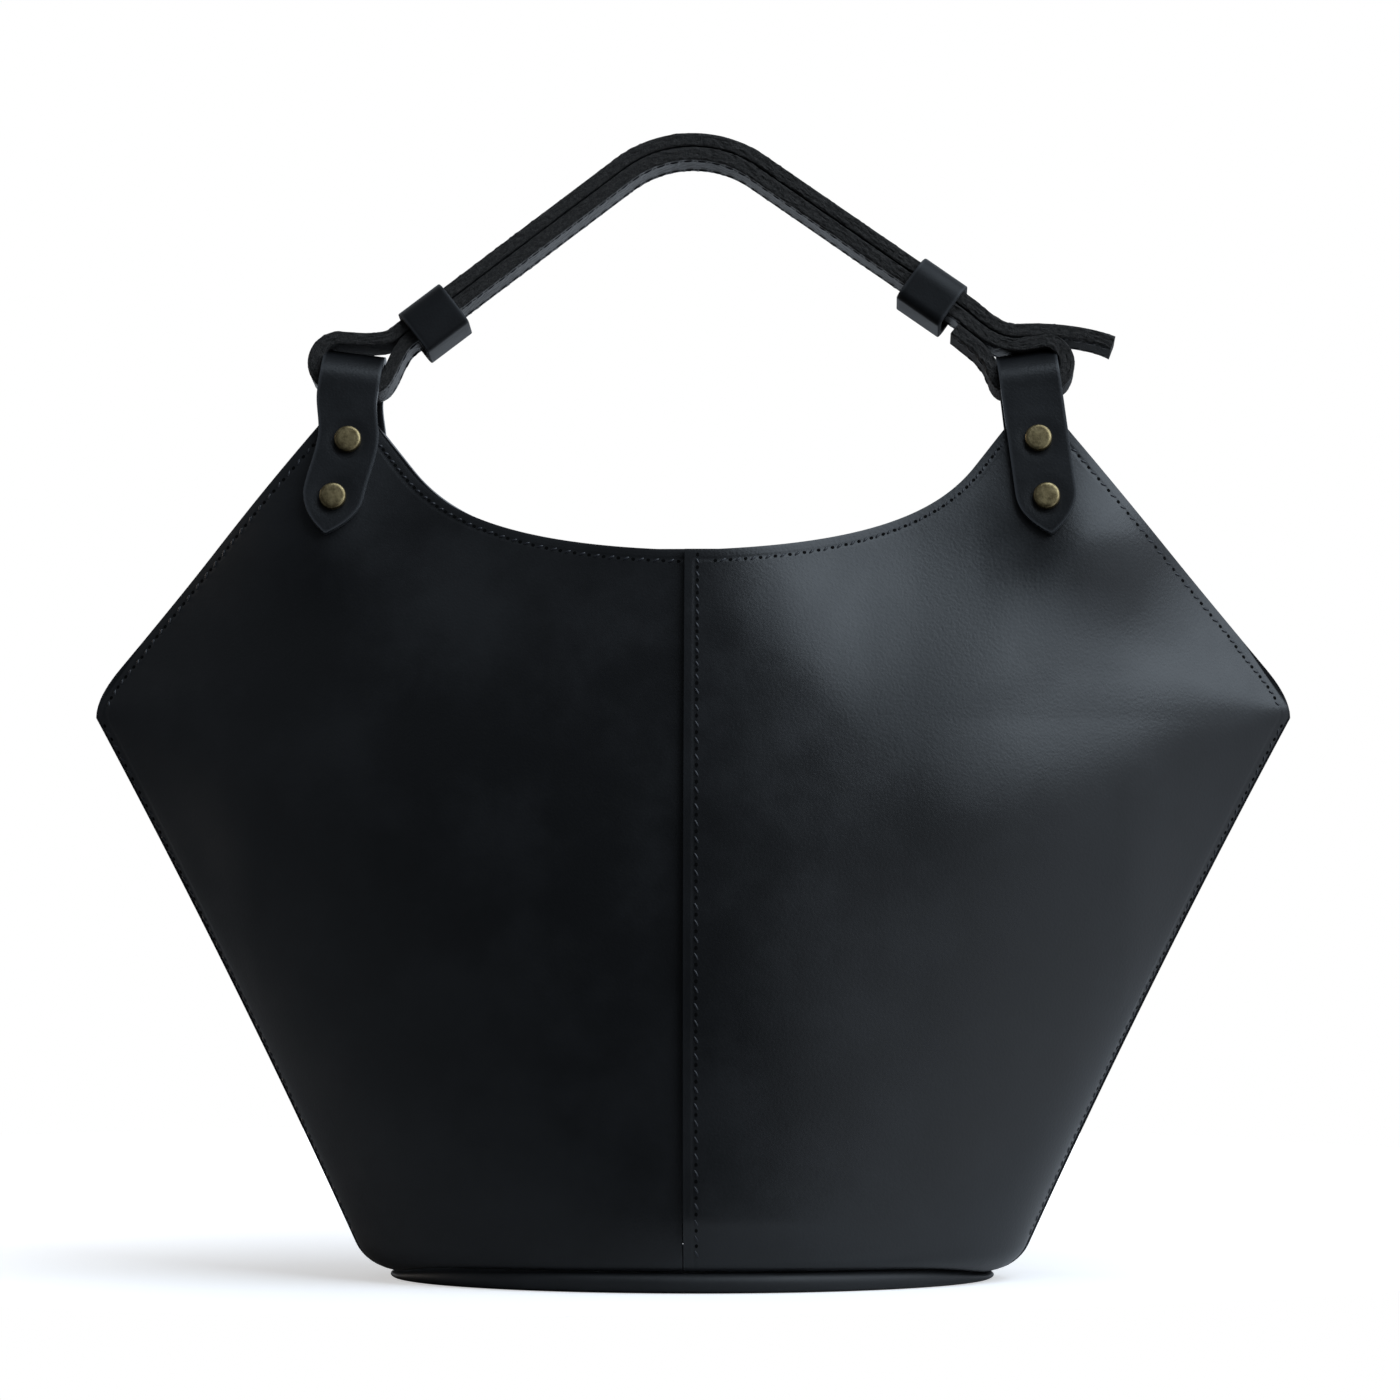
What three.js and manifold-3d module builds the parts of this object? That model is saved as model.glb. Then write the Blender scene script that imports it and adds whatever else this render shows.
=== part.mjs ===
// Black leather bucket bag whose top handle is one long strap doubled through two riveted loops.
// Millimetres, +Z up, the front faces -Y. The origin is on the floor below the middle of the bag.

import * as THREE from 'three';
import { mergeVertices } from 'three/addons/utils/BufferGeometryUtils.js';
import Module from 'manifold-3d';

const wasm = await Module();
wasm.setup();
const { clamp, degToRad, lerp, smoothstep } = THREE.MathUtils;

// Leather and fits
const leather = 2.2;
const seatGap = 0.3; // between pieces that are sewn or riveted together
const runningGap = 0.35; // between the strap and whatever it runs through

// Body outline, seen from the front
const footHalfWidth = 96; // side seams carried down to the floor
const cornerHalfWidth = 179;
const cornerHeight = 168; // where the side seams end
const seamBow = 1.8; // side seams bow in between floor and corner
const cornerRise = 6; // sharp corner above the end of the side seam
const cornerRound = 11;
const mouthHeight = 217.5; // lowest point of the mouth edge
const mouthFlat = 58; // pull of the nearly level middle of the mouth
const mouthFlatRise = 1.5;
const steepAngle = degToRad(52); // the mouth edge just below a peak
const steepLength = 17.1;
const steepPull = 14.6;
const peakRise = 39; // peaks above the middle of the mouth
const peakWidth = 15;

// Body depth, each half measured from the middle plane
const bellyHalfDepth = 58;
const bellyHeight = 70;
const mouthHalfDepth = 40;
const baseRoundness = 0.55; // 0.5 is an ellipse, 1 is a lens
const cornerRoundness = 0.95;
const mouthTaper = 0.45; // how fast the lens narrows above the corners
const pinchFade = 23; // from the tabs out to where the free corners hang by themselves

// Seams
const seamFlange = 4; // raw side seam allowance that stands out
const seamFlangeFoot = 0.8; // what is left of it where it runs into the base seam
const seamFlangeHeight = 20; // where it has its full width
const lapReveal = 1; // the upper lap edge past the centre line
const lapUnder = 8; // the lower panel under the upper one
const lapLand = 9; // the upper panel lies raised as far as this
const lapStart = 22; // below this the under layer is cut back
const lapFull = 34;

// Base
const baseSeamHeight = 5;
const turnRadius = 5; // panels turn in to the base seam
const baseBulge = 2; // the base edge past the seam
const baseRound = 3;

// Handle tabs and rivets
const tabHalfSpan = 101.6; // loop centres from the middle of the bag
const loopRise = 8.5; // loop axis above the peaks
const tabWidth = 17.5;
const tabTilt = degToRad(7.5); // lower ends lean outwards
const tabSplay = degToRad(17); // front and back legs spread apart
const tabTip = 42.6; // pointed end below the loop axis
const tabShoulder = 13; // length of the pointed end
const tabShoulderPull = 0.55; // how full the point is
const legGap = 0.5;
const upperRivetDrop = 14.1;
const lowerRivetDrop = 31.6;
const rivetCapRadius = 4.05;
const rivetCapHeight = 1.9;
const rivetRimHeight = 0.7;
const rivetDomeShare = 0.5; // flat top of a cap, as a share of its radius
const rivetShoulderShare = 0.82;
const rivetPostRadius = 1.5;
const rivetGrip = 0.5; // how far a post reaches into its inner cap
const innerCapHeight = 1.4;

// Strap and keepers
const strapWidth = 17;
const strapThickness = 3.9;
const layGap = 0.4; // between layers
const overTabGap = 0.4;
const turnReach = 3.2; // centre of a strap's turn inside the edge of its tab
const loopExit = 1; // level stretch of strap past the inner edge of a tab
const handleRise = 73.4; // top of the line between the layers, above the loop axis
const apexRadius = 38; // of the line between the layers
const handleLean = degToRad(8); // the handle leans back
const leftKeeperIn = 23.4; // left keeper from its loop centre
const leftKeeperUp = 7.1; // left keeper above the strap on its tab
const rightKeeperIn = 28.9;
const rightKeeperUp = 14.8;
const keeperBand = 15.5;
const keeperWall = 2;
const keeperRound = 2.5;
const keeperSideRoom = 0.5;
const keeperSlack = 2.6; // spare room under the layers
const keeperClear = 2; // straight strap past a keeper's end
const bendPull = 4.2; // pulls of the strap's bends
const shortBendPull = 3;
const longBendPull = 6;
const overBendPull = 9;
const tailReach = 24.4; // free strap end past the right loop centre
const tailDrop = 1.75;
const tailPullReach = 10.3;
const tailPullRise = 1.15;
const strapEndDrop = 7.9; // sewn strap end below the layer above it
const strapEndSlope = degToRad(27);

// Facet counts
const panelColumns = { mouth: 7, peak: 2 };
const panelRows = { turn: 3, seam: 7, corner: 2, upper: 5 };
const baseSides = 48;
const roundSides = 12;
const tabArcSides = 12;
const bendSides = 8;
const cornerSides = 3;

// Worked out from the sizes above
const peakHeight = mouthHeight + peakRise;
const loopHeight = peakHeight + loopRise;
const peakMiddle = tabHalfSpan + loopRise * Math.tan(tabTilt);
const seamDepth = leather + seatGap / 2;
const holeRadius = rivetPostRadius + seatGap;
const tabLean = (tabWidth / 2) * Math.sin(tabTilt);
const loopInner = Math.hypot(strapWidth, strapThickness) / 2 + tabLean + runningGap;
const loopOuter = loopInner + leather;
const overTab = loopOuter + tabLean + strapThickness / 2 + overTabGap;
const layerPitch = strapThickness + layGap;

function turnIn(z) {
  const above = clamp(z - baseSeamHeight, 0, turnRadius);
  return turnRadius - Math.sqrt(turnRadius ** 2 - (turnRadius - above) ** 2);
}

function seamHalfWidth(z) {
  const up = z / cornerHeight;
  return lerp(footHalfWidth, cornerHalfWidth, up) - 4 * seamBow * up * (1 - up) - turnIn(z);
}

function flangeWidth(z) {
  return lerp(seamFlangeFoot, seamFlange, smoothstep(z, baseSeamHeight, seamFlangeHeight));
}

function bellyDepth(z) {
  const fall = ((z - bellyHeight) / (mouthHeight - bellyHeight)) ** 2;
  return bellyHalfDepth - (bellyHalfDepth - mouthHalfDepth) * fall - turnIn(z);
}

// The body closes to a lens between its side seams.
function lensDepth(x, z) {
  const below = seamHalfWidth(z) - flangeWidth(z);
  const above = cornerHalfWidth - seamFlange - mouthTaper * (z - cornerHeight);
  const across = Math.min(Math.abs(x) / (z < cornerHeight ? below : above), 1);
  const roundness = lerp(baseRoundness, cornerRoundness, clamp(z / cornerHeight, 0, 1));
  return seamDepth + (bellyDepth(z) - seamDepth) * (1 - across ** 2) ** roundness;
}

// Under the tabs the body follows the flat legs, and between them it swells out to the mouth.
function pinchedDepth(x, z) {
  const drop = (Math.abs(x) - tabHalfSpan) * Math.sin(tabTilt) + (loopHeight - z) * Math.cos(tabTilt);
  const flat = loopInner / Math.cos(tabSplay) - legGap + drop * Math.tan(tabSplay);
  const across = Math.min(Math.abs(x) / (peakMiddle - tabWidth / 2), 1);
  return flat + (bellyDepth(z) - flat) * (1 + Math.cos(Math.PI * across)) / 2;
}

// Outer face of the body, as a depth from the middle plane
function bodyDepth(x, z) {
  const pinchHeight = loopHeight - tabTip * Math.cos(tabTilt);
  const tabEdge = tabHalfSpan + lowerRivetDrop * Math.sin(tabTilt) + tabWidth / 2;
  const free = smoothstep(Math.abs(x), tabEdge, tabEdge + pinchFade);
  const pinch = smoothstep(z, cornerHeight, pinchHeight) * (1 - free);
  return lerp(lensDepth(x, z), pinchedDepth(x, z), pinch);
}

// A point of a front panel's outer face and the one through the leather from it
function panelPoints(x, z, raised) {
  const step = 0.25;
  const acrossX = (bodyDepth(x + step, z) - bodyDepth(x - step, z)) / (2 * step);
  const acrossZ = (bodyDepth(x, z + step) - bodyDepth(x, z - step)) / (2 * step);
  const inward = new THREE.Vector3(acrossX, 1, acrossZ);
  const lapLift = smoothstep(z, baseSeamHeight + turnRadius, lapStart) * inward.length();
  const lift = raised ? (leather + seatGap) * lapLift : 0;
  const outer = new THREE.Vector3(x, -bodyDepth(x, z) - lift, z);
  const inner = outer.clone().addScaledVector(inward.normalize(), leather);
  return { outer, inner };
}

// Closed sheet between two grids of points, the outer one facing -Y
function sheetGeometry(outer, inner) {
  const rows = outer.length;
  const columns = outer[0].length;
  const points = [...outer.flat(), ...inner.flat()];
  const at = (row, column) => row * columns + column;
  const through = rows * columns;
  const index = [];
  for (let row = 0; row < rows - 1; row++) {
    for (let column = 0; column < columns - 1; column++) {
      const a = at(row, column);
      const b = at(row, column + 1);
      const c = at(row + 1, column + 1);
      const d = at(row + 1, column);
      index.push(a, b, c, a, c, d);
      index.push(through + a, through + c, through + b, through + a, through + d, through + c);
    }
  }
  const rim = [];
  for (let column = 0; column < columns - 1; column++) rim.push(at(0, column));
  for (let row = 0; row < rows - 1; row++) rim.push(at(row, columns - 1));
  for (let column = columns - 1; column > 0; column--) rim.push(at(rows - 1, column));
  for (let row = rows - 1; row > 0; row--) rim.push(at(row, 0));
  rim.forEach((a, place) => {
    const b = rim[(place + 1) % rim.length];
    index.push(b, a, through + a, b, through + a, through + b);
  });
  const geometry = new THREE.BufferGeometry().setFromPoints(points);
  return geometry.setIndex(index);
}

// Half of the mouth edge, from the middle up to the inner corner of a peak
const peakInner = new THREE.Vector2(peakMiddle - peakWidth / 2, peakHeight);
const peakOuter = new THREE.Vector2(peakMiddle + peakWidth / 2, peakHeight);
const steepWay = new THREE.Vector2(Math.cos(steepAngle), Math.sin(steepAngle));
const steepFoot = peakInner.clone().addScaledVector(steepWay, -steepLength);
const mouthCurve = new THREE.CubicBezierCurve(
  new THREE.Vector2(0, mouthHeight),
  new THREE.Vector2(mouthFlat, mouthHeight + mouthFlatRise),
  steepFoot.clone().addScaledVector(steepWay, -steepPull),
  steepFoot,
);

function mouthPoint(x) {
  let low = 0;
  let high = 1;
  for (let halving = 0; halving < 40; halving++) {
    const middle = (low + high) / 2;
    if (mouthCurve.getPoint(middle).x < x) low = middle;
    else high = middle;
  }
  return mouthCurve.getPoint(high);
}

// Heights of the rows of a panel below the lap's full width
function lowerRows() {
  const heights = [];
  for (let row = 0; row <= panelRows.turn; row++) {
    const turn = (Math.PI / 2) * (row / panelRows.turn);
    heights.push(baseSeamHeight + turnRadius * (1 - Math.cos(turn)));
  }
  return [...heights, lapStart, lapFull];
}

// Side seam, rounded corner and upper side edge, from the base to the outer corner of a peak
function sideEdge() {
  const points = lowerRows().map((z) => new THREE.Vector2(seamHalfWidth(z), z));
  for (let row = 1; row <= panelRows.seam; row++) {
    const z = lerp(lapFull, cornerHeight, row / panelRows.seam);
    points.push(new THREE.Vector2(seamHalfWidth(z), z));
  }
  const sharp = new THREE.Vector2(cornerHalfWidth, cornerHeight + cornerRise);
  const upward = peakOuter.clone().sub(sharp).normalize();
  const roundEnd = sharp.clone().addScaledVector(upward, cornerRound);
  const rounding = new THREE.QuadraticBezierCurve(points.at(-1), sharp, roundEnd);
  for (let row = 1; row <= panelRows.corner; row++) points.push(rounding.getPoint(row / panelRows.corner));
  for (let row = 1; row <= panelRows.upper; row++) {
    points.push(roundEnd.clone().lerp(peakOuter, row / panelRows.upper));
  }
  return points;
}

// Line down the panel beside its lap, with as many points as the side edge
function lapLine(count) {
  const heights = lowerRows();
  const top = mouthPoint(lapLand).y;
  const left = count - heights.length;
  for (let row = 1; row <= left; row++) heights.push(lerp(lapFull, top, row / left));
  return heights.map((z) => new THREE.Vector2(lapLand, z));
}

function topEdge() {
  const points = [];
  for (let column = 0; column <= panelColumns.mouth; column++) {
    points.push(mouthPoint(lerp(lapLand, steepFoot.x, column / panelColumns.mouth)));
  }
  const inFromSeam = new THREE.Vector2(peakOuter.x - seamFlange, peakHeight);
  for (let column = 0; column <= panelColumns.peak; column++) {
    points.push(peakInner.clone().lerp(inFromSeam, column / panelColumns.peak));
  }
  return points;
}

// A front panel on its own side of the centre line, spread between its four edges
function panelGeometry(isUpper) {
  const side = sideEdge();
  const lap = lapLine(side.length);
  const flangeLine = side.map((point) => new THREE.Vector2(point.x - flangeWidth(point.y), point.y));
  const top = topEdge();
  const last = top.length - 1;
  const grid = side.map((sidePoint, row) => {
    const height = (lap[row].y - lap[0].y) / (lap.at(-1).y - lap[0].y);
    const underX = lap[row].y < lapFull ? lapReveal + seatGap : -lapUnder;
    const edge = new THREE.Vector2(isUpper ? -lapReveal : underX, lap[row].y);
    const across = top.map((topPoint, column) => {
      const share = Math.sin((Math.PI / 2) * (column / last));
      const bottom = lap[0].clone().lerp(flangeLine[0], share);
      const level = lap[row].clone().lerp(flangeLine[row], share);
      const upright = bottom.clone().lerp(topPoint, height);
      const corners = bottom.lerp(top[0].clone().lerp(top[last], share), height);
      return level.add(upright).sub(corners);
    });
    return [edge, ...across, sidePoint];
  });
  const lapColumns = 2;
  const sheet = grid.map((row) => row.map((point, column) =>
    panelPoints(point.x, point.y, isUpper && column < lapColumns)));
  return sheetGeometry(
    sheet.map((row) => row.map((pair) => pair.outer)),
    sheet.map((row) => row.map((pair) => pair.inner)),
  );
}

function mirrored(geometry) {
  const copy = geometry.clone().scale(-1, 1, 1);
  const index = copy.getIndex();
  for (let corner = 0; corner < index.count; corner += 3) {
    const second = index.getX(corner + 1);
    index.setX(corner + 1, index.getX(corner + 2));
    index.setX(corner + 2, second);
  }
  return copy;
}

function solid(geometry) {
  const bare = geometry.clone();
  bare.deleteAttribute('normal');
  bare.deleteAttribute('uv');
  const merged = mergeVertices(bare);
  return new wasm.Manifold(new wasm.Mesh({
    numProp: 3,
    vertProperties: merged.getAttribute('position').array,
    triVerts: Uint32Array.from(merged.getIndex().array),
  }));
}

function geometryOf(manifold) {
  const mesh = manifold.getMesh();
  const geometry = new THREE.BufferGeometry();
  geometry.setAttribute('position', new THREE.BufferAttribute(mesh.vertProperties, 3));
  return geometry.setIndex(new THREE.BufferAttribute(mesh.triVerts, 1));
}

function withHoles(geometry, holes) {
  return geometryOf(holes.reduce((body, hole) => body.subtract(solid(hole)), solid(geometry)));
}

// Tray with a rounded edge: an oval loft from the underside round to the floor of the bag
function baseGeometry() {
  const halfLength = seamHalfWidth(baseSeamHeight) + baseBulge;
  const halfDepth = bellyDepth(baseSeamHeight) + baseBulge;
  const middle = (baseSeamHeight - seatGap) / 2;
  const profile = [];
  for (let part = -2; part <= 2; part++) {
    const angle = (Math.PI / 4) * part;
    profile.push({ inset: baseRound * (1 - Math.cos(angle)), z: middle * (1 + Math.sin(angle)) });
  }
  profile.push({ inset: baseRound + leather, z: baseSeamHeight - seatGap });
  profile.push({ inset: baseRound + leather, z: leather });
  const points = [new THREE.Vector3(0, 0, 0)];
  profile.forEach(({ inset, z }) => {
    for (let side = 0; side < baseSides; side++) {
      const angle = (2 * Math.PI * side) / baseSides;
      const out = Math.sin(angle);
      const depth = Math.abs(out) ** (2 * baseRoundness) * Math.sign(out);
      points.push(new THREE.Vector3((halfLength - inset) * Math.cos(angle), (halfDepth - inset) * depth, z));
    }
  });
  const top = points.length;
  points.push(new THREE.Vector3(0, 0, leather));
  const index = [];
  const at = (ring, side) => 1 + ring * baseSides + (side % baseSides);
  for (let side = 0; side < baseSides; side++) {
    index.push(0, at(0, side + 1), at(0, side));
    for (let ring = 0; ring < profile.length - 1; ring++) {
      const a = at(ring, side);
      const b = at(ring, side + 1);
      const c = at(ring + 1, side + 1);
      const d = at(ring + 1, side);
      index.push(a, b, c, a, c, d);
    }
    index.push(top, at(profile.length - 1, side), at(profile.length - 1, side + 1));
  }
  return new THREE.BufferGeometry().setFromPoints(points).setIndex(index);
}

// Extrudes a shape drawn in X and Z evenly to both sides of Y = 0.
function acrossDepth(shape, depth) {
  const geometry = new THREE.ExtrudeGeometry(shape, { depth, bevelEnabled: false, curveSegments: bendSides });
  return geometry.rotateX(Math.PI / 2).translate(0, depth / 2, 0);
}

// Places on a tab's legs where its rivets go: Y points out of the leather, the origin is on its outer face.
function rivetSeats() {
  const seats = [];
  for (const [face, toFace] of [['front', -1], ['back', 1]]) {
    for (const [level, drop] of [['upper', upperRivetDrop], ['lower', lowerRivetDrop]]) {
      const seat = new THREE.Group();
      const outward = new THREE.Vector3(0, toFace * Math.cos(tabSplay), Math.sin(tabSplay));
      const reach = loopOuter / Math.cos(tabSplay) + drop * Math.tan(tabSplay);
      seat.position.set(0, toFace * reach, -drop);
      seat.quaternion.setFromUnitVectors(new THREE.Vector3(0, 1, 0), outward);
      seat.userData = { face, label: `${face}_${level}_rivet` };
      seats.push(seat);
    }
  }
  return seats;
}

const rivetStack = 2 * leather + legGap * Math.cos(tabSplay);

// Hole through a leg of a tab and the panel behind it
function rivetHole(matrix) {
  const length = 4 * rivetStack;
  const hole = new THREE.CylinderGeometry(holeRadius, holeRadius, length, roundSides);
  return hole.applyMatrix4(matrix);
}

// Folded strap: an arch with two spread legs, trimmed to pointed ends
function tabGeometry(seats) {
  const legEnd = 2 * tabTip;
  const out = new THREE.Vector2(Math.cos(tabSplay), Math.sin(tabSplay));
  const down = new THREE.Vector2(Math.sin(tabSplay), -Math.cos(tabSplay));
  const legPoint = (radius) => out.clone().multiplyScalar(radius).addScaledVector(down, legEnd);
  const outerFoot = legPoint(loopOuter);
  const innerFoot = legPoint(loopInner);
  const arch = new THREE.Shape();
  arch.moveTo(outerFoot.x, outerFoot.y);
  arch.lineTo(out.x * loopOuter, out.y * loopOuter);
  arch.absarc(0, 0, loopOuter, tabSplay, Math.PI - tabSplay, false);
  arch.lineTo(-outerFoot.x, outerFoot.y);
  arch.lineTo(-innerFoot.x, innerFoot.y);
  arch.absarc(0, 0, loopInner, Math.PI - tabSplay, tabSplay, true);
  arch.lineTo(innerFoot.x, innerFoot.y);
  const settings = { depth: tabWidth, bevelEnabled: false, curveSegments: tabArcSides };
  const folded = new THREE.ExtrudeGeometry(arch, settings);
  folded.translate(0, 0, -tabWidth / 2).rotateX(Math.PI / 2).rotateZ(Math.PI / 2);

  const half = tabWidth;
  const shoulder = -(tabTip - tabShoulder);
  const pull = -(tabTip - tabShoulder * (1 - tabShoulderPull));
  const outline = new THREE.Shape();
  outline.moveTo(-half, 2 * loopOuter);
  outline.lineTo(-half, shoulder);
  outline.lineTo(-tabWidth / 2, shoulder);
  outline.quadraticCurveTo(-tabWidth / 2, pull, 0, -tabTip);
  outline.quadraticCurveTo(tabWidth / 2, pull, tabWidth / 2, shoulder);
  outline.lineTo(half, shoulder);
  outline.lineTo(half, 2 * loopOuter);
  const trimmed = solid(folded).intersect(solid(acrossDepth(outline, 4 * legEnd)));
  return withHoles(geometryOf(trimmed), seats.map((seat) => rivetHole(seat.matrix)));
}

function latheGeometry(profile) {
  return new THREE.LatheGeometry(profile.map(([radius, y]) => new THREE.Vector2(radius, y)), roundSides);
}

// Cap on the outside of a tab with the post that goes through the leather
function postCapGeometry() {
  const tip = -(rivetStack + seatGap + rivetGrip);
  return latheGeometry([
    [0, tip],
    [rivetPostRadius, tip],
    [rivetPostRadius, seatGap],
    [rivetCapRadius, seatGap],
    [rivetCapRadius, seatGap + rivetRimHeight],
    [rivetCapRadius * rivetShoulderShare, seatGap + (rivetRimHeight + rivetCapHeight) / 2],
    [rivetCapRadius * rivetDomeShare, rivetCapHeight],
    [0, rivetCapHeight],
  ]);
}

// Flat cap inside the bag, with a socket for the post
function innerCapGeometry() {
  const face = -(rivetStack + seatGap);
  const socket = face - rivetGrip - seatGap;
  return latheGeometry([
    [0, face - innerCapHeight],
    [rivetCapRadius * rivetShoulderShare, face - innerCapHeight],
    [rivetCapRadius, face - innerCapHeight / 2],
    [rivetCapRadius, face],
    [holeRadius, face],
    [holeRadius, socket],
    [0, socket],
  ]);
}

// The handle is drawn in X and Z about the loop axis. Both arms run straight from a keeper to the apex.
const apexCentre = new THREE.Vector2(0, handleRise - apexRadius);
const upperLayer = 0.5;
const lowerLayer = -0.5;

function handleArm(toSide, x, z) {
  const keeper = new THREE.Vector2(toSide * x, z);
  const toCentre = apexCentre.clone().sub(keeper);
  const angle = Math.atan2(toCentre.y, -toSide * toCentre.x) + Math.asin(apexRadius / toCentre.length());
  const along = new THREE.Vector2(-toSide * Math.cos(angle), Math.sin(angle));
  const outward = new THREE.Vector2(toSide * Math.sin(angle), Math.cos(angle));
  const point = (layer, station) =>
    keeper.clone().addScaledVector(along, station).addScaledVector(outward, layer * layerPitch);
  return { keeper, angle, along, outward, point };
}

const leftArm = handleArm(-1, tabHalfSpan - leftKeeperIn, overTab + leftKeeperUp);
const rightArm = handleArm(1, tabHalfSpan - rightKeeperIn, overTab + rightKeeperUp);

// Middle line of the strap, from its free end at the right to its sewn end below the right keeper
function strapLine() {
  const below = -(keeperBand / 2 + keeperClear);
  const turnX = tabHalfSpan + tabWidth / 2 - turnReach;
  const exitX = tabHalfSpan - tabWidth / 2 - loopExit;
  const leftAngle = Math.PI / 2 + leftArm.angle;
  const rightAngle = Math.PI / 2 - rightArm.angle;
  const line = new THREE.Path();
  const place = (x, z) => new THREE.Vector2(x, z);
  const before = (point, arm, pull) => point.clone().addScaledVector(arm.along, -pull);
  const bendTo = (firstPull, secondPull, end) =>
    line.bezierCurveTo(firstPull.x, firstPull.y, secondPull.x, secondPull.y, end.x, end.y);

  line.moveTo(tabHalfSpan + tailReach, overTab - tailDrop);
  const tailRoot = rightArm.point(upperLayer, below);
  const tailPull = place(tabHalfSpan + tailPullReach, overTab + layerPitch + tailPullRise);
  bendTo(tailPull, before(tailRoot, rightArm, shortBendPull), tailRoot);
  line.absarc(apexCentre.x, apexCentre.y, apexRadius + layerPitch / 2, rightAngle, leftAngle, false);

  const leftFoot = leftArm.point(upperLayer, below);
  line.lineTo(leftFoot.x, leftFoot.y);
  bendTo(
    before(leftFoot, leftArm, shortBendPull),
    place(overBendPull - tabHalfSpan, overTab),
    place(-tabHalfSpan, overTab),
  );
  line.absarc(-turnX, overTab / 2, overTab / 2, Math.PI / 2, 1.5 * Math.PI, false);
  line.lineTo(-exitX, 0);
  const leftRise = leftArm.point(lowerLayer, below);
  bendTo(place(bendPull - exitX, 0), before(leftRise, leftArm, bendPull), leftRise);
  line.absarc(apexCentre.x, apexCentre.y, apexRadius - layerPitch / 2, leftAngle, rightAngle, true);

  const rightFoot = rightArm.point(lowerLayer, below);
  line.lineTo(rightFoot.x, rightFoot.y);
  bendTo(
    before(rightFoot, rightArm, longBendPull),
    place(tabHalfSpan - bendPull - longBendPull, overTab),
    place(tabHalfSpan - bendPull, overTab),
  );
  line.absarc(turnX, overTab / 2, overTab / 2, Math.PI / 2, -Math.PI / 2, true);
  line.lineTo(exitX, 0);
  const sewnEnd = place(rightFoot.x, rightFoot.y - strapEndDrop);
  const sewnWay = place(Math.cos(strapEndSlope), -Math.sin(strapEndSlope));
  bendTo(place(exitX - bendPull, 0), sewnEnd.clone().addScaledVector(sewnWay, longBendPull), sewnEnd);
  return line;
}

function strapGeometry() {
  const points = strapLine().getPoints(bendSides);
  const apart = seatGap / 10;
  const middle = points.filter((point, place) => place === 0 || point.distanceTo(points[place - 1]) > apart);
  const edge = (toSide) => middle.map((point, place) => {
    const before = middle[Math.max(place - 1, 0)];
    const after = middle[Math.min(place + 1, middle.length - 1)];
    const way = after.clone().sub(before).normalize();
    return new THREE.Vector2(-way.y, way.x).multiplyScalar(toSide * strapThickness / 2).add(point);
  });
  return acrossDepth(new THREE.Shape([...edge(-1), ...edge(1).reverse()]), strapWidth);
}

function roundedRectangle(width, height, radius) {
  const x = width / 2;
  const y = height / 2;
  const shape = new THREE.Shape();
  shape.moveTo(x, -y + radius);
  shape.absarc(x - radius, y - radius, radius, 0, Math.PI / 2, false);
  shape.absarc(-x + radius, y - radius, radius, Math.PI / 2, Math.PI, false);
  shape.absarc(-x + radius, -y + radius, radius, Math.PI, 1.5 * Math.PI, false);
  shape.absarc(x - radius, -y + radius, radius, 1.5 * Math.PI, 2 * Math.PI, false);
  return shape;
}

// Band with room for two layers of strap
function keeperGeometry() {
  const width = strapWidth + 2 * keeperSideRoom;
  const height = layerPitch + strapThickness + 2 * runningGap + keeperSlack;
  const band = roundedRectangle(width + 2 * keeperWall, height + 2 * keeperWall, keeperRound);
  band.holes.push(roundedRectangle(width, height, runningGap));
  const settings = { depth: keeperBand, bevelEnabled: false, curveSegments: cornerSides };
  const geometry = new THREE.ExtrudeGeometry(band, settings);
  return geometry.translate(0, 0, -keeperBand / 2);
}

function leatherMaterial(color, roughness) {
  return new THREE.MeshStandardMaterial({ color, roughness, metalness: 0 });
}

function brassMaterial(color) {
  return new THREE.MeshStandardMaterial({ color, roughness: 0.38, metalness: 1 });
}

function piece(name, geometry, material) {
  const mesh = new THREE.Mesh(geometry, material);
  mesh.name = name;
  return mesh;
}

// Tab with its rivets, in a group that stands at the loop axis
function tabGroup(label, toSide) {
  const group = new THREE.Group();
  group.position.set(toSide * tabHalfSpan, 0, loopHeight);
  group.rotation.y = -toSide * tabTilt;
  const seats = rivetSeats();
  seats.forEach((seat) => {
    seat.updateMatrix();
    const name = `${label}_${seat.userData.label}`;
    seat.add(piece(`${name}_post_cap`, postCapGeometry(), brassMaterial(0x8f7a55)));
    seat.add(piece(`${name}_inner_cap`, innerCapGeometry(), brassMaterial(0x7d6c4e)));
    group.add(seat);
  });
  group.add(piece(`${label}_handle_tab`, tabGeometry(seats), leatherMaterial(0x1d1e20, 0.55)));
  group.updateMatrixWorld(true);
  return group;
}

// Front pair of panels, or the back pair turned half round
function panelPair(names, holes) {
  const upper = withHoles(panelGeometry(true), holes);
  const under = mirrored(withHoles(panelGeometry(false), holes));
  const pair = new THREE.Group();
  pair.add(piece(names.upper, upper, leatherMaterial(0x1c1d20, 0.5)));
  pair.add(piece(names.under, under, leatherMaterial(0x1b1c1f, 0.5)));
  return pair;
}

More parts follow.
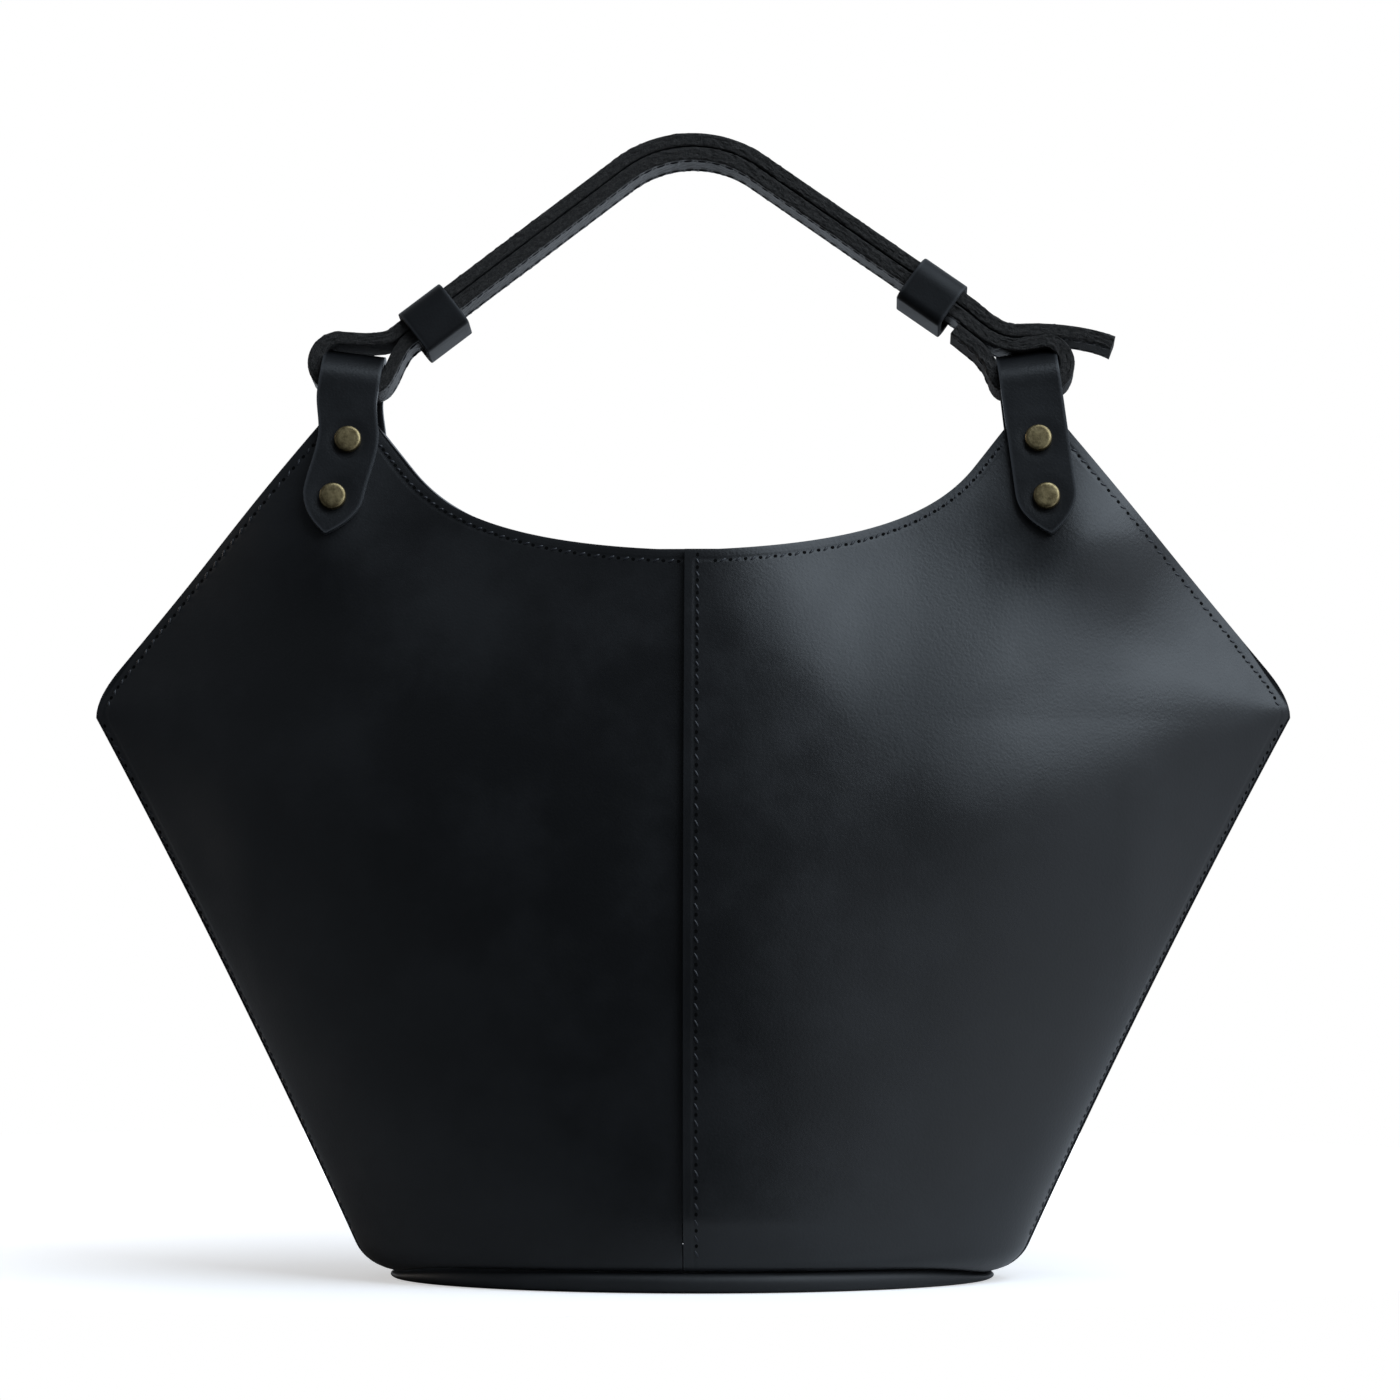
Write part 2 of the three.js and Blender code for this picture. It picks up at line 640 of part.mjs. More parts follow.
function handleGroup() {
  const group = new THREE.Group();
  group.position.z = loopHeight;
  group.rotation.x = -handleLean;
  group.add(piece('handle_strap', strapGeometry(), leatherMaterial(0x232427, 0.7)));
  for (const [name, arm] of [['left_keeper', leftArm], ['right_keeper', rightArm]]) {
    const keeper = piece(name, keeperGeometry(), leatherMaterial(0x1f2022, 0.55));
    const along = new THREE.Vector3(arm.along.x, 0, arm.along.y);
    const outward = new THREE.Vector3(arm.outward.x, 0, arm.outward.y);
    const across = new THREE.Vector3().crossVectors(outward, along);
    keeper.quaternion.setFromRotationMatrix(new THREE.Matrix4().makeBasis(across, outward, along));
    keeper.position.set(arm.keeper.x, 0, arm.keeper.y).addScaledVector(outward, -keeperSlack / 2);
    group.add(keeper);
  }
  return group;
}

function buildBag() {
  const leftTab = tabGroup('left', -1);
  const rightTab = tabGroup('right', 1);
  const frontSeats = rightTab.children.filter((child) => child.userData.face === 'front');
  const holes = frontSeats.map((seat) => rivetHole(seat.matrixWorld));
  const front = panelPair({ upper: 'front_right_panel', under: 'front_left_panel' }, holes);
  const back = panelPair({ upper: 'back_left_panel', under: 'back_right_panel' }, holes);
  back.rotation.z = Math.PI;
  const base = piece('base_panel', baseGeometry(), leatherMaterial(0x18191b, 0.6));
  const bag = new THREE.Group();
  bag.add(front, back, base, leftTab, rightTab, handleGroup());
  return bag;
}

export default buildBag();
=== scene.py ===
"""Black leather bucket bag: panels, base, riveted tabs, doubled strap and keepers on its CAD frame."""

import math

import bpy
import numpy as np
from bpy.props import FloatProperty, FloatVectorProperty, PointerProperty
from mathutils import Matrix, Vector
from mathutils.kdtree import KDTree


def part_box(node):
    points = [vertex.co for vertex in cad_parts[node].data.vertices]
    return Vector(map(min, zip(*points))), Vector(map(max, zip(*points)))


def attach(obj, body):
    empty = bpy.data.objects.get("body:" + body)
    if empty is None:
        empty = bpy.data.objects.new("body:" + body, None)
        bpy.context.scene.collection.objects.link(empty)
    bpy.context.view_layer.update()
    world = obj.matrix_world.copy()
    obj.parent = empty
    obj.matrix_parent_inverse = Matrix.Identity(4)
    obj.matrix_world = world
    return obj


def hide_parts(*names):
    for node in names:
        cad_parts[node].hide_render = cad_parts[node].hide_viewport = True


bl_info = {
    "name": "Leather Bucket Bag",
    "version": (1, 0, 0),
    "blender": (4, 5, 0),
    "location": "View3D > Sidebar > Bag",
    "description": "Sews and rivets a black leather bucket bag on its CAD frame",
    "category": "Add Mesh",
}

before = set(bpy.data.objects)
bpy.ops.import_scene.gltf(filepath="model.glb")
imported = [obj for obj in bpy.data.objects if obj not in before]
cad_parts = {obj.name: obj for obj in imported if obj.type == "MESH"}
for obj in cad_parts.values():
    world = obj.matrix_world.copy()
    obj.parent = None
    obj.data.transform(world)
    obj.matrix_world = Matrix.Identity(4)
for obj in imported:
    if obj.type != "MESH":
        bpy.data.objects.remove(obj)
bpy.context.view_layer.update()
SIDES = (("left", -1), ("right", 1))


def length(name, description, default):
    return FloatProperty(
        name=name, description=description, default=default, unit="LENGTH", precision=5
    )


def angle(name, description, degrees):
    return FloatProperty(
        name=name, description=description, default=math.radians(degrees), subtype="ANGLE"
    )


def share(name, description, default):
    return FloatProperty(
        name=name, description=description, default=default, subtype="FACTOR", min=0, max=1
    )


def colour(name, description, default):
    return FloatVectorProperty(
        name=name, description=description, default=default, size=3, subtype="COLOR"
    )


class BagBodySizes(bpy.types.PropertyGroup):
    """Panels and base"""

    leather: length("Leather", "Thickness of the leather", 0.0022)
    seat_gap: length("Seat gap", "Between pieces that are sewn or riveted together", 0.0003)
    seam_gap: length("Seam gap", "Between the front and back panels at a side seam", 0.00002)
    foot_half_width: length("Foot half width", "Side seams carried down to the floor", 0.096)
    corner_half_width: length(
        "Corner half width", "Middle of the bag to a side corner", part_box("front_right_panel")[1].x
    )
    corner_height: length("Corner height", "Where the side seams end", 0.168)
    corner_softness: length("Corner softness", "Rounding of the fold that runs in from a corner", 0.045)
    corner_dip: length("Corner dip", "How far that fold hangs down on its way in", 0.011)
    corner_crease: length("Corner crease", "Rounding of that fold at the corner itself", 0.0015)
    seam_bow: length("Seam bow", "How far the side seams bow in", 0.0018)
    corner_rise: length("Corner rise", "Sharp corner above the end of the side seam", 0.006)
    corner_round: length("Corner round", "Rounding of the corner along the upper edge", 0.011)
    mouth_height: length("Mouth height", "Lowest point of the mouth edge", 0.2175)
    mouth_flat: length("Mouth flat", "Pull of the nearly level middle of the mouth", 0.058)
    mouth_flat_rise: length("Mouth flat rise", "Rise of that pull", 0.0015)
    steep_angle: angle("Steep angle", "Mouth edge just below a peak", 52)
    steep_length: length("Steep length", "Straight edge below a peak", 0.0171)
    steep_pull: length("Steep pull", "Pull of the curve into the straight edge", 0.0146)
    peak_rise: length("Peak rise", "Peaks above the middle of the mouth", 0.039)
    peak_width: length("Peak width", "Level top of a peak", 0.015)
    belly_half_depth: length("Belly half depth", "Middle plane to the fullest front", 0.058)
    belly_height: length("Belly height", "Height of the fullest front", 0.07)
    mouth_half_depth: length("Mouth half depth", "Middle plane to the mouth edge", 0.04)
    sag: length("Sag", "How far the leather sags out at the sides below the corners", 0.003)
    sag_height: length("Sag height", "Height of the fullest sag", 0.138)
    sag_reach: length("Sag reach", "Up and down from there", 0.028)
    base_roundness: share("Base roundness", "Half is an oval and one is a lens, at the base", 0.55)
    corner_roundness: share("Corner roundness", "The same at the corners", 0.95)
    mouth_taper: share("Mouth taper", "How fast the lens narrows above the corners", 0.55)
    pinch_middle: length("Pinch middle", "Near the middle, the panels are drawn in above this", 0.18)
    pinch_foot: length("Pinch foot", "Beside the middle, they are drawn in above this", 0.16)
    pinch_top: length("Pinch top", "There they are fully drawn in above this", 0.2245)
    tab_free_foot: length("Tab free foot", "Below this the panels turn back under the tabs", 0.184)
    tab_free_top: length("Tab free top", "Above this they lie flat behind the tabs", 0.232)
    tab_free_slope: share("Tab free slope", "How far they turn back there", 0.25)
    pinch_start: length("Pinch start", "Across the bag, where the panels begin to leave the tabs", 0.1)
    pinch_fade: length("Pinch fade", "From there out to where the corners hang free", 0.058)
    seam_flange: length("Seam flange", "Raw side seam allowance that stands out", 0.0007)
    seam_flange_foot: length("Seam flange foot", "What is left of it at the base", 0.0005)
    seam_flange_height: length("Seam flange height", "Where it has its full width", 0.02)
    lap_reveal: length("Lap reveal", "Upper lap edge past the centre line", 0.001)
    lap_under: length("Lap under", "Lower panel under the upper one", 0.008)
    lap_land: length("Lap land", "The upper panel lies raised as far as this", 0.009)
    lap_fall: length("Lap fall", "How gently the upper panel comes back down", 0.06)
    lap_start: length("Lap start", "Below this the under layer is cut back", 0.022)
    lap_full: length("Lap full", "Above this it has its full width", 0.034)
    base_seam_height: length("Base seam height", "Where the panels meet the base, at the front", 0.0062)
    base_side_height: length("Base side height", "The same at the side seams", 0.003)
    base_half_length: length("Base half length", "Middle of the base to a side end", 0.0905)
    base_half_depth: length("Base half depth", "Middle of the base to its front", 0.0555)
    turn_radius: length("Turn radius", "Panels turn in to the base seam, at the front", 0.0028)
    side_turn_radius: length("Side turn radius", "The same at the side seams", 0.0075)
    base_round: length("Base round", "Rounding of the base edge", 0.003)
    edge_round: length("Edge round", "Rounding of a cut leather edge", 0.0005)
    panel_edge_round: length("Panel edge round", "Rounding of the worn edges of the panels", 0.0008)


class HandleTabSizes(bpy.types.PropertyGroup):
    """Tabs and rivets"""

    half_span: length("Half span", "Loop centres from the middle of the bag", 0.1016)
    loop_rise: length("Loop rise", "Loop axis above the peaks", 0.0085)
    width: length("Width", "Width of a tab", 0.0181)
    tilt: angle("Tilt", "Lower ends lean outwards", 7.5)
    splay: angle("Splay", "Front and back legs spread apart", 17)
    tip: length("Tip", "Pointed end below the loop axis", 0.0426)
    shoulder: length("Shoulder", "Length of the pointed end", 0.013)
    shoulder_pull: share("Shoulder pull", "How full the point is", 0.55)
    leg_gap: length("Leg gap", "Between a leg and the panel behind it", 0.0005)
    upper_rivet_drop: length("Upper rivet drop", "Upper rivet below the loop axis", 0.0141)
    lower_rivet_drop: length("Lower rivet drop", "Lower rivet below the loop axis", 0.0316)
    rivet_radius: length("Rivet radius", "Radius of a rivet cap", 0.00405)
    rivet_height: length("Rivet height", "Height of a rivet cap", 0.0019)
    inner_cap_height: length("Inner cap height", "Height of the cap inside the bag", 0.0014)
    dimple: length("Dimple", "How far a rivet draws the leather in", 0.0003)
    bend: length("Bend", "How far the left tab bends sideways", 0.0024)


class StrapSizes(bpy.types.PropertyGroup):
    """Strap and keepers"""

    width: length("Width", "Width of the strap", 0.017)
    thickness: length("Thickness", "Thickness of the strap", 0.0039)
    edge_round: length("Edge round", "Rounding of the strap's edges", 0.0006)
    running_gap: length("Running gap", "Between the strap and what it runs through", 0.00035)
    lay_gap: length("Lay gap", "Between layers", 0.0004)
    over_tab_gap: length("Over tab gap", "Between a tab and the layer over it", 0.0004)
    turn_reach: length("Turn reach", "Centre of a turn inside the edge of its tab", 0.0051)
    loop_inset: length("Loop inset", "Inside a tab's inner edge, where the strap starts to rise", 0.003)
    left_hug: length("Left hug", "How far the strap follows the slope of the left tab", 0.0005)
    right_hug: length("Right hug", "How far the strap follows the slope of the right tab", 0.003)
    through_rise: length("Through rise", "Strap inside a loop above the loop axis", 0.001)
    bunching: length("Bunching", "How much thicker the strap gets inside its turns", 0.0006)
    handle_rise: length("Handle rise", "Top of the line between the layers, above the loops", 0.07435)
    apex_radius: length("Apex radius", "Bend of the line between the layers", 0.034)
    lean: angle("Lean", "The handle leans back", 8)
    left_keeper_in: length("Left keeper in", "Left keeper from its loop centre", 0.0234)
    left_keeper_up: length("Left keeper up", "Left keeper above the strap on its tab", 0.0071)
    right_keeper_in: length("Right keeper in", "Right keeper from its loop centre", 0.0289)
    right_keeper_up: length("Right keeper up", "Right keeper above the strap on its tab", 0.0148)
    keeper_band: length("Keeper band", "Width of a keeper along the strap", 0.0155)
    keeper_wall: length("Keeper wall", "Thickness of a keeper", 0.002)
    keeper_round: length("Keeper round", "Upper outer corners of a keeper", 0.0062)
    keeper_low_round: length("Keeper low round", "Lower outer corners of a keeper", 0.003)
    keeper_inner_round: length("Keeper inner round", "Inner corners of a keeper", 0.002)
    keeper_side_room: length("Keeper side room", "Beside the strap", 0.0005)
    keeper_slack: length("Keeper slack", "Spare room under the layers", 0.0026)
    keeper_clear: length("Keeper clear", "Straight strap past a keeper's end", 0.002)
    bend_pull: length("Bend pull", "Pull of the bends at the loops", 0.0034)
    rise_pull: length("Rise pull", "Pull of the bend up to the left keeper", 0.0065)
    short_bend_pull: length("Short bend pull", "Pull of the bends below a keeper", 0.003)
    long_bend_pull: length("Long bend pull", "Pull of the bends over the right tab", 0.006)
    over_bend_pull: length("Over bend pull", "Pull of the bend over the left tab", 0.009)
    tail_reach: length("Tail reach", "Free strap end past the right loop centre", 0.0244)
    tail_drop: length("Tail drop", "Free strap end below the strap over the tab", 0.00175)
    tail_pull_reach: length("Tail pull reach", "Pull of the tail's bend, sideways", 0.0103)
    strap_stand: length("Strap stand", "Height beside the right tab where the end is steepest", 0.0062)
    strap_stand_slope: angle("Strap stand slope", "Slope of the strap there", 68)


class StitchSizes(bpy.types.PropertyGroup):
    """Thread and stitch rows"""

    thread_radius: length("Thread radius", "Radius of the thread", 0.0004)
    pitch: length("Pitch", "Length of a stitch along the edges", 0.0045)
    fine_pitch: length("Fine pitch", "Length of a stitch near the ends of a row", 0.00385)
    lap_pitch: length("Lap pitch", "Length of a stitch down a centre seam", 0.00486)
    fine_length: length("Fine length", "How far a centre seam keeps the short stitches", 0.042)
    strap_pitch: length("Strap pitch", "Length of a stitch along the strap", 0.0042)
    peak_pitch: length("Peak pitch", "Length of a stitch along the mouth beside a tab", 0.0031)
    edge_inset: length("Edge inset", "Stitch row inside a free edge", 0.0029)
    mouth_inset: length("Mouth inset", "Stitch row inside the middle of the mouth", 0.0035)
    peak_inset: length("Peak inset", "Stitch row inside the mouth edge beside a tab", 0.0024)
    lap_inset: length("Lap inset", "Stitch row inside the lap edge", 0.0038)
    seam_inset: length("Seam inset", "Stitch row inside a side seam", 0.0012)
    strap_inset: length("Strap inset", "Stitch row inside a strap edge", 0.0026)
    slant: angle("Slant", "Turn of a stitch across its row", 30)
    strap_slant: angle("Strap slant", "The same along the strap", 8)
    reach: share("Reach", "Half of the thread that shows, as a share of the pitch", 0.29)
    strap_reach: share("Strap reach", "The same along the strap", 0.43)


class BagColours(bpy.types.PropertyGroup):
    """Finishes"""

    leather: colour("Leather", "Black grain side", (0.0085, 0.0088, 0.0095))
    leather_dry: colour("Dry leather", "Paler, drier patches of the grain side", (0.0125, 0.013, 0.0142))
    strap: colour("Strap", "Grain side of the strap", (0.016, 0.0148, 0.0132))
    strap_dry: colour("Dry strap", "Its paler, drier patches", (0.026, 0.024, 0.0215))
    flesh: colour("Flesh side", "Inside of the bag and of the strap", (0.016, 0.0155, 0.016))
    cut_edge: colour("Cut edge", "Bare cut edges of the panels and tabs", (0.03, 0.031, 0.034))
    strap_edge: colour("Strap edge", "Fibrous cut edges of the strap", (0.041, 0.037, 0.034))
    thread: colour("Thread", "Waxed black thread", (0.014, 0.0145, 0.018))
    brass: colour("Brass", "Antique brass", (0.36, 0.285, 0.15))
    brass_dark: colour("Dark brass", "Patina in the brass", (0.17, 0.13, 0.066))
    # Painted highlight: tabs and keepers are lighter along their edges, where their rounded edges catch
    # the light
    painted_edge_highlight: colour("Painted edge highlight", "Painted highlight along the edges of tabs and keepers", (0.06, 0.062, 0.066))
    floor: colour("Floor", "Pale floor", (0.86, 0.86, 0.87))


def sizes(group):
    return getattr(bpy.context.scene, f"bag_{group}")


def mix(low, high, part):
    return low + (high - low) * part


def ease(value, low, high):
    part = np.clip((value - low) / (high - low), 0, 1)
    return part * part * (3 - 2 * part)


def unit(vectors):
    return vectors / np.linalg.norm(vectors, axis=-1, keepdims=True)


# The bag's form: depth of the outer face from the middle plane, at a place across and up

# How late the foot, its turn and the fold from a corner change on the way out to the side seams
FOOT_POWER = 8
TURN_POWER = 4
FOLD_POWER = 8
# Where the sag starts, is full, starts to end and ends, as shares of the half width
SAG_START, SAG_FULL, SAG_FALL, SAG_END = 0.08, 0.62, 0.72, 0.96
# Rounding of the turn back under the tabs
TURN_BACK_ROUND = 0.008
# Easing of the corner where the panels meet a tab, as shares of the way out to it
KINK_REACH, KINK_DEPTH = 0.1, 0.025
# Rounding of the straight fall from the middle out to a tab, and its share beside the curved one
MIDDLE_ROUND, STRAIGHT_SHARE = 0.12, 0.6
# Across the bag, between the middle and a tab: where the panels are drawn in from further down
BETWEEN_RISE = (0.025, 0.055)
BETWEEN_FALL = (0.06, 0.125)
SLOPE_STEP = 0.0003


def loop_height():
    return sizes("body").mouth_height + sizes("body").peak_rise + sizes("tabs").loop_rise


def loop_radius():
    """Inside of a tab's loop, wide enough for the strap to turn in it."""
    tabs, strap = sizes("tabs"), sizes("strap")
    lean = tabs.width / 2 * math.sin(tabs.tilt)
    return math.hypot(strap.width, strap.thickness) / 2 + lean + strap.running_gap


def foot_share(x):
    """How far across the foot of the bag a place lies, from its middle to the end of a side seam."""
    body = sizes("body")
    end = body.foot_half_width - body.side_turn_radius - body.seam_flange_foot
    return np.minimum(np.abs(x) / end, 1)


def foot_height(x):
    """Base seam above the floor: high along the front, nearly down to the floor at the sides."""
    body = sizes("body")
    return mix(body.base_seam_height, body.base_side_height, foot_share(x) ** FOOT_POWER)


def turn_in(x, z):
    """How far the panels draw in just above the base seam."""
    body = sizes("body")
    radius = mix(body.turn_radius, body.side_turn_radius, foot_share(x) ** TURN_POWER)
    above = np.clip(z - foot_height(x), 0, radius)
    return radius - np.sqrt(radius**2 - (radius - above) ** 2)


def seam_half_width(z):
    body = sizes("body")
    up = z / body.corner_height
    straight = mix(body.foot_half_width, body.corner_half_width, up)
    return straight - 4 * body.seam_bow * up * (1 - up) - turn_in(body.foot_half_width, z)


def flange_width(z):
    body = sizes("body")
    return mix(body.seam_flange_foot, body.seam_flange, ease(z, 0, body.seam_flange_height))


def belly_depth(x, z):
    body = sizes("body")
    fall = ((z - body.belly_height) / (body.mouth_height - body.belly_height)) ** 2
    return body.belly_half_depth - (body.belly_half_depth - body.mouth_half_depth) * fall - turn_in(x, z)


def lens_depth(x, z):
    body = sizes("body")
    seam_depth = body.leather + body.seam_gap / 2
    below = seam_half_width(np.minimum(z, body.corner_height + body.corner_softness)) - flange_width(z)
    to_corner = np.minimum(np.abs(x) / body.corner_half_width, 1)
    fold = body.corner_height - body.corner_dip * (1 - to_corner**FOLD_POWER)
    above = body.corner_half_width + 2 * body.seam_flange - body.mouth_taper * (z - fold)
    inside = 1 - to_corner**2
    soft = mix(body.corner_crease, body.corner_softness, inside)
    meet = np.clip(0.5 + (above - below) / (2 * soft), 0, 1)
    half = mix(above, below, meet) - soft * meet * (1 - meet)
    across = np.minimum(np.abs(x) / half, 1)
    roundness = mix(body.base_roundness, body.corner_roundness, np.clip(z / body.corner_height, 0, 1))
    return seam_depth + (belly_depth(x, z) - seam_depth) * (1 - across**2) ** roundness


def side_sag(x, z):
    """Soft fullness under the fold that runs in from a corner."""
    body = sizes("body")
    half = body.corner_half_width
    inner = ease(np.abs(x), SAG_START * half, SAG_FULL * half)
    outer = 1 - ease(np.abs(x), SAG_FALL * half, SAG_END * seam_half_width(z))
    level = np.exp(-(((z - body.sag_height) / body.sag_reach) ** 2))
    return body.sag * level * inner * np.clip(outer, 0, 1)


def pinched_depth(x, z):
    """Under the tabs the body follows the flat legs, and between them it swells out to the mouth."""
    body, tabs = sizes("body"), sizes("tabs")
    out = np.abs(x)
    drop = (out - tabs.half_span) * math.sin(tabs.tilt) + (loop_height() - z) * math.cos(tabs.tilt)
    flat = loop_radius() / math.cos(tabs.splay) - tabs.leg_gap + drop * math.tan(tabs.splay)
    inner_edge = tabs.half_span + tabs.loop_rise * math.tan(tabs.tilt) - tabs.width / 2
    past = out - inner_edge
    past = (past + np.hypot(past, TURN_BACK_ROUND)) / 2
    flat = flat - past * body.tab_free_slope * (1 - ease(z, body.tab_free_foot, body.tab_free_top))
    across = out / inner_edge
    kink = np.clip(1 - np.abs(across - 1) / KINK_REACH, 0, 1)
    across = np.minimum(across, 1) - KINK_DEPTH * kink**2
    curved = (1 + np.cos(np.pi * across)) / 2
    whole = math.hypot(1, MIDDLE_ROUND)
    straight = (whole - np.hypot(across, MIDDLE_ROUND)) / (whole - MIDDLE_ROUND)
    return flat + (belly_depth(x, z) - flat) * mix(curved, straight, STRAIGHT_SHARE)


def body_depth(x, z):
    body = sizes("body")
    out = np.abs(x)
    free = ease(out, body.pinch_start, body.pinch_start + body.pinch_fade)
    between = ease(out, *BETWEEN_RISE) * (1 - ease(out, *BETWEEN_FALL))
    foot = mix(body.pinch_middle, body.pinch_foot, between)
    pinch = ease(z, foot, body.pinch_top) * (1 - free)
    return mix(lens_depth(x, z) + side_sag(x, z), pinched_depth(x, z), pinch)


def face_slope(x, z):
    """Unit vectors out of a front panel's outer face, and how much its slope lengthens a step out."""
    across = body_depth(x + SLOPE_STEP, z) - body_depth(x - SLOPE_STEP, z)
    up = body_depth(x, z + SLOPE_STEP) - body_depth(x, z - SLOPE_STEP)
    across, up = across / (2 * SLOPE_STEP), up / (2 * SLOPE_STEP)
    out = np.stack([-across, -np.ones_like(across), -up], axis=-1)
    stretch = np.linalg.norm(out, axis=-1)
    return out / stretch[..., None], stretch


def lap_lift(x, z, stretch):
    """How far the upper panel stands off to lie over the lower one at the centre."""
    body = sizes("body")
    rise = ease(z, body.base_seam_height + body.turn_radius, body.lap_start)
    fall = 1 - ease(x, body.lap_land, body.lap_land + body.lap_fall)
    return (body.leather + body.seat_gap) * rise * fall * stretch


def face_points(x, z, is_upper):
    """Points on the outer face of a front panel on its own side of the centre line."""
    out, stretch = face_slope(x, z)
    depth = body_depth(x, z)
    if is_upper:
        depth = depth + lap_lift(x, z, stretch)
    return np.stack([x, -depth, z], axis=-1), out


# Outlines seen from the front

# Counts of points along them
BEND_POINTS = 60
MOUTH_POINTS = 160
STEEP_POINTS = 20
CORNER_POINTS = 16
SEAM_POINTS = 120


def bezier(points, count=BEND_POINTS):
    part = np.linspace(0, 1, count)[:, None]
    points = [np.asarray(p, float) for p in points]
    while len(points) > 1:
        points = [mix(a, b, part) for a, b in zip(points[:-1], points[1:])]
    return points[0]


def run_along(line):
    """How far along a line each of its points is."""
    return np.concatenate([[0], np.cumsum(np.linalg.norm(np.diff(line, axis=0), axis=1))])


def spread(line, count):
    """The same line with that many points, evenly spaced, or with points at those shares of its run."""
    run = run_along(line)
    places = np.linspace(0, run[-1], count) if np.isscalar(count) else np.asarray(count) * run[-1]
    return np.stack([np.interp(places, run, line[:, k]) for k in range(line.shape[1])], axis=1)


def peak_corners():
    """Inner and outer corner of a peak's level top."""
    body, tabs = sizes("body"), sizes("tabs")
    middle = tabs.half_span + tabs.loop_rise * math.tan(tabs.tilt)
    height = body.mouth_height + body.peak_rise
    return [np.array([middle + way * body.peak_width / 2, height]) for way in (-1, 1)]


def mouth_edge():
    """Half of the mouth edge, from the centre line up to the inner corner of a peak."""
    body = sizes("body")
    inner = peak_corners()[0]
    way = np.array([math.cos(body.steep_angle), math.sin(body.steep_angle)])
    foot = inner - way * body.steep_length
    level = (body.mouth_flat, body.mouth_height + body.mouth_flat_rise)
    curve = bezier([(0, body.mouth_height), level, foot - way * body.steep_pull, foot], MOUTH_POINTS)
    return np.concatenate([curve, mix(foot, inner, np.linspace(0, 1, STEEP_POINTS)[1:, None])])


def upper_side_edge():
    """Rounded corner and upper side edge, from the end of the side seam up to a peak."""
    body = sizes("body")
    outer = peak_corners()[1]
    start = np.array([seam_half_width(body.corner_height), body.corner_height])
    sharp = np.array([body.corner_half_width, body.corner_height + body.corner_rise])
    end = sharp + unit(outer - sharp) * body.corner_round
    rounding = bezier([start, sharp, end], CORNER_POINTS)
    return np.concatenate([rounding, mix(end, outer, np.linspace(0, 1, BEND_POINTS)[1:, None])])


def side_seam(low):
    z = np.linspace(low, sizes("body").corner_height, SEAM_POINTS)
    return np.stack([seam_half_width(z), z], axis=1)


# Counts of faces across and up a panel
LAP_COLUMNS = 9
SPREAD_COLUMNS = 112
FLANGE_COLUMNS = 5
TURN_ROWS = 8
LAP_ROWS = 14
SEAM_ROWS = 84
EDGE_ROWS = 62


def foot_rows(height, radius):
    """Heights of the lowest rows: close together round the turn, then up to where the lap is full."""
    turn = np.linspace(0, math.pi / 2, TURN_ROWS + 1)
    rise = np.linspace(height + radius, sizes("body").lap_full, LAP_ROWS + 1)[1:]
    return np.concatenate([height + radius * (1 - np.cos(turn)), rise])


def panel_layout(is_upper):
    """Places across and up of a panel's points, row by row, filled in between its four edges."""
    body = sizes("body")
    low = foot_rows(body.base_seam_height, body.turn_radius)
    side_low = foot_rows(body.base_side_height, body.side_turn_radius)
    side = np.concatenate(
        [
            np.stack([seam_half_width(side_low), side_low], axis=1),
            spread(side_seam(body.lap_full), SEAM_ROWS + 1)[1:],
            spread(upper_side_edge(), EDGE_ROWS + 1)[1:],
        ]
    )
    mouth = mouth_edge()
    land_top = np.interp(body.lap_land, mouth[:, 0], mouth[:, 1])
    lap_rise = np.linspace(body.lap_full, land_top, SEAM_ROWS + EDGE_ROWS + 1)[1:]
    lap_heights = np.concatenate([low, lap_rise])
    lap = np.stack([np.full_like(lap_heights, body.lap_land), lap_heights], axis=1)
    flange = side - np.stack([flange_width(side[:, 1]), np.zeros(len(side))], axis=1)
    outer = peak_corners()[1] - np.array([body.seam_flange, 0])
    top_line = np.concatenate([[lap[-1]], mouth[mouth[:, 0] > body.lap_land], [outer]])
    part = np.sin(math.pi / 2 * np.linspace(0, 1, SPREAD_COLUMNS + 1))
    top = spread(top_line, part)
    height = ((lap[:, 1] - lap[0, 1]) / (lap[-1, 1] - lap[0, 1]))[:, None, None]
    across = part[None, :, None]
    straight = mix(lap[0], flange[0], across)
    bottom = np.stack([straight[..., 0], foot_height(straight[..., 0])], axis=-1)
    level = mix(lap[:, None], flange[:, None], across)
    upright = mix(bottom, top[None], height)
    corners = mix(straight, mix(top[0], top[-1], across), height)
    middle = level + upright - corners
    if is_upper:
        edge_x = np.full(len(lap), -body.lap_reveal)
    else:
        under = ease(lap[:, 1], body.lap_start, body.lap_full)
        edge_x = mix(body.lap_reveal + body.seat_gap, -body.lap_under, under)
    lap_part = np.linspace(0, 1, LAP_COLUMNS + 1)[:-1]
    lap_x = mix(edge_x[:, None], body.lap_land, lap_part[None])
    lap_z = np.repeat(lap[:, 1:2], LAP_COLUMNS, axis=1)
    rim_part = np.linspace(0, 1, FLANGE_COLUMNS + 1)[1:]
    rim = mix(flange[:, None], side[:, None], rim_part[None, :, None])
    return np.concatenate([np.stack([lap_x, lap_z], axis=-1), middle, rim], axis=1)


# Mesh helpers


def deselect():
    bpy.ops.object.select_all(action="DESELECT")


def start_grid(name, columns, rows):
    """A flat grid whose points are then put in place, row by row."""
    deselect()
    bpy.ops.mesh.primitive_grid_add(x_subdivisions=columns, y_subdivisions=rows, size=2)
    piece = bpy.context.object
    piece.name = piece.data.name = name
    return piece


def put_points(piece, points):
    piece.data.vertices.foreach_set("co", np.asarray(points, np.float32).reshape(-1))
    piece.data.update()


def use_only(piece):
    deselect()
    piece.select_set(True)
    bpy.context.view_layer.objects.active = piece


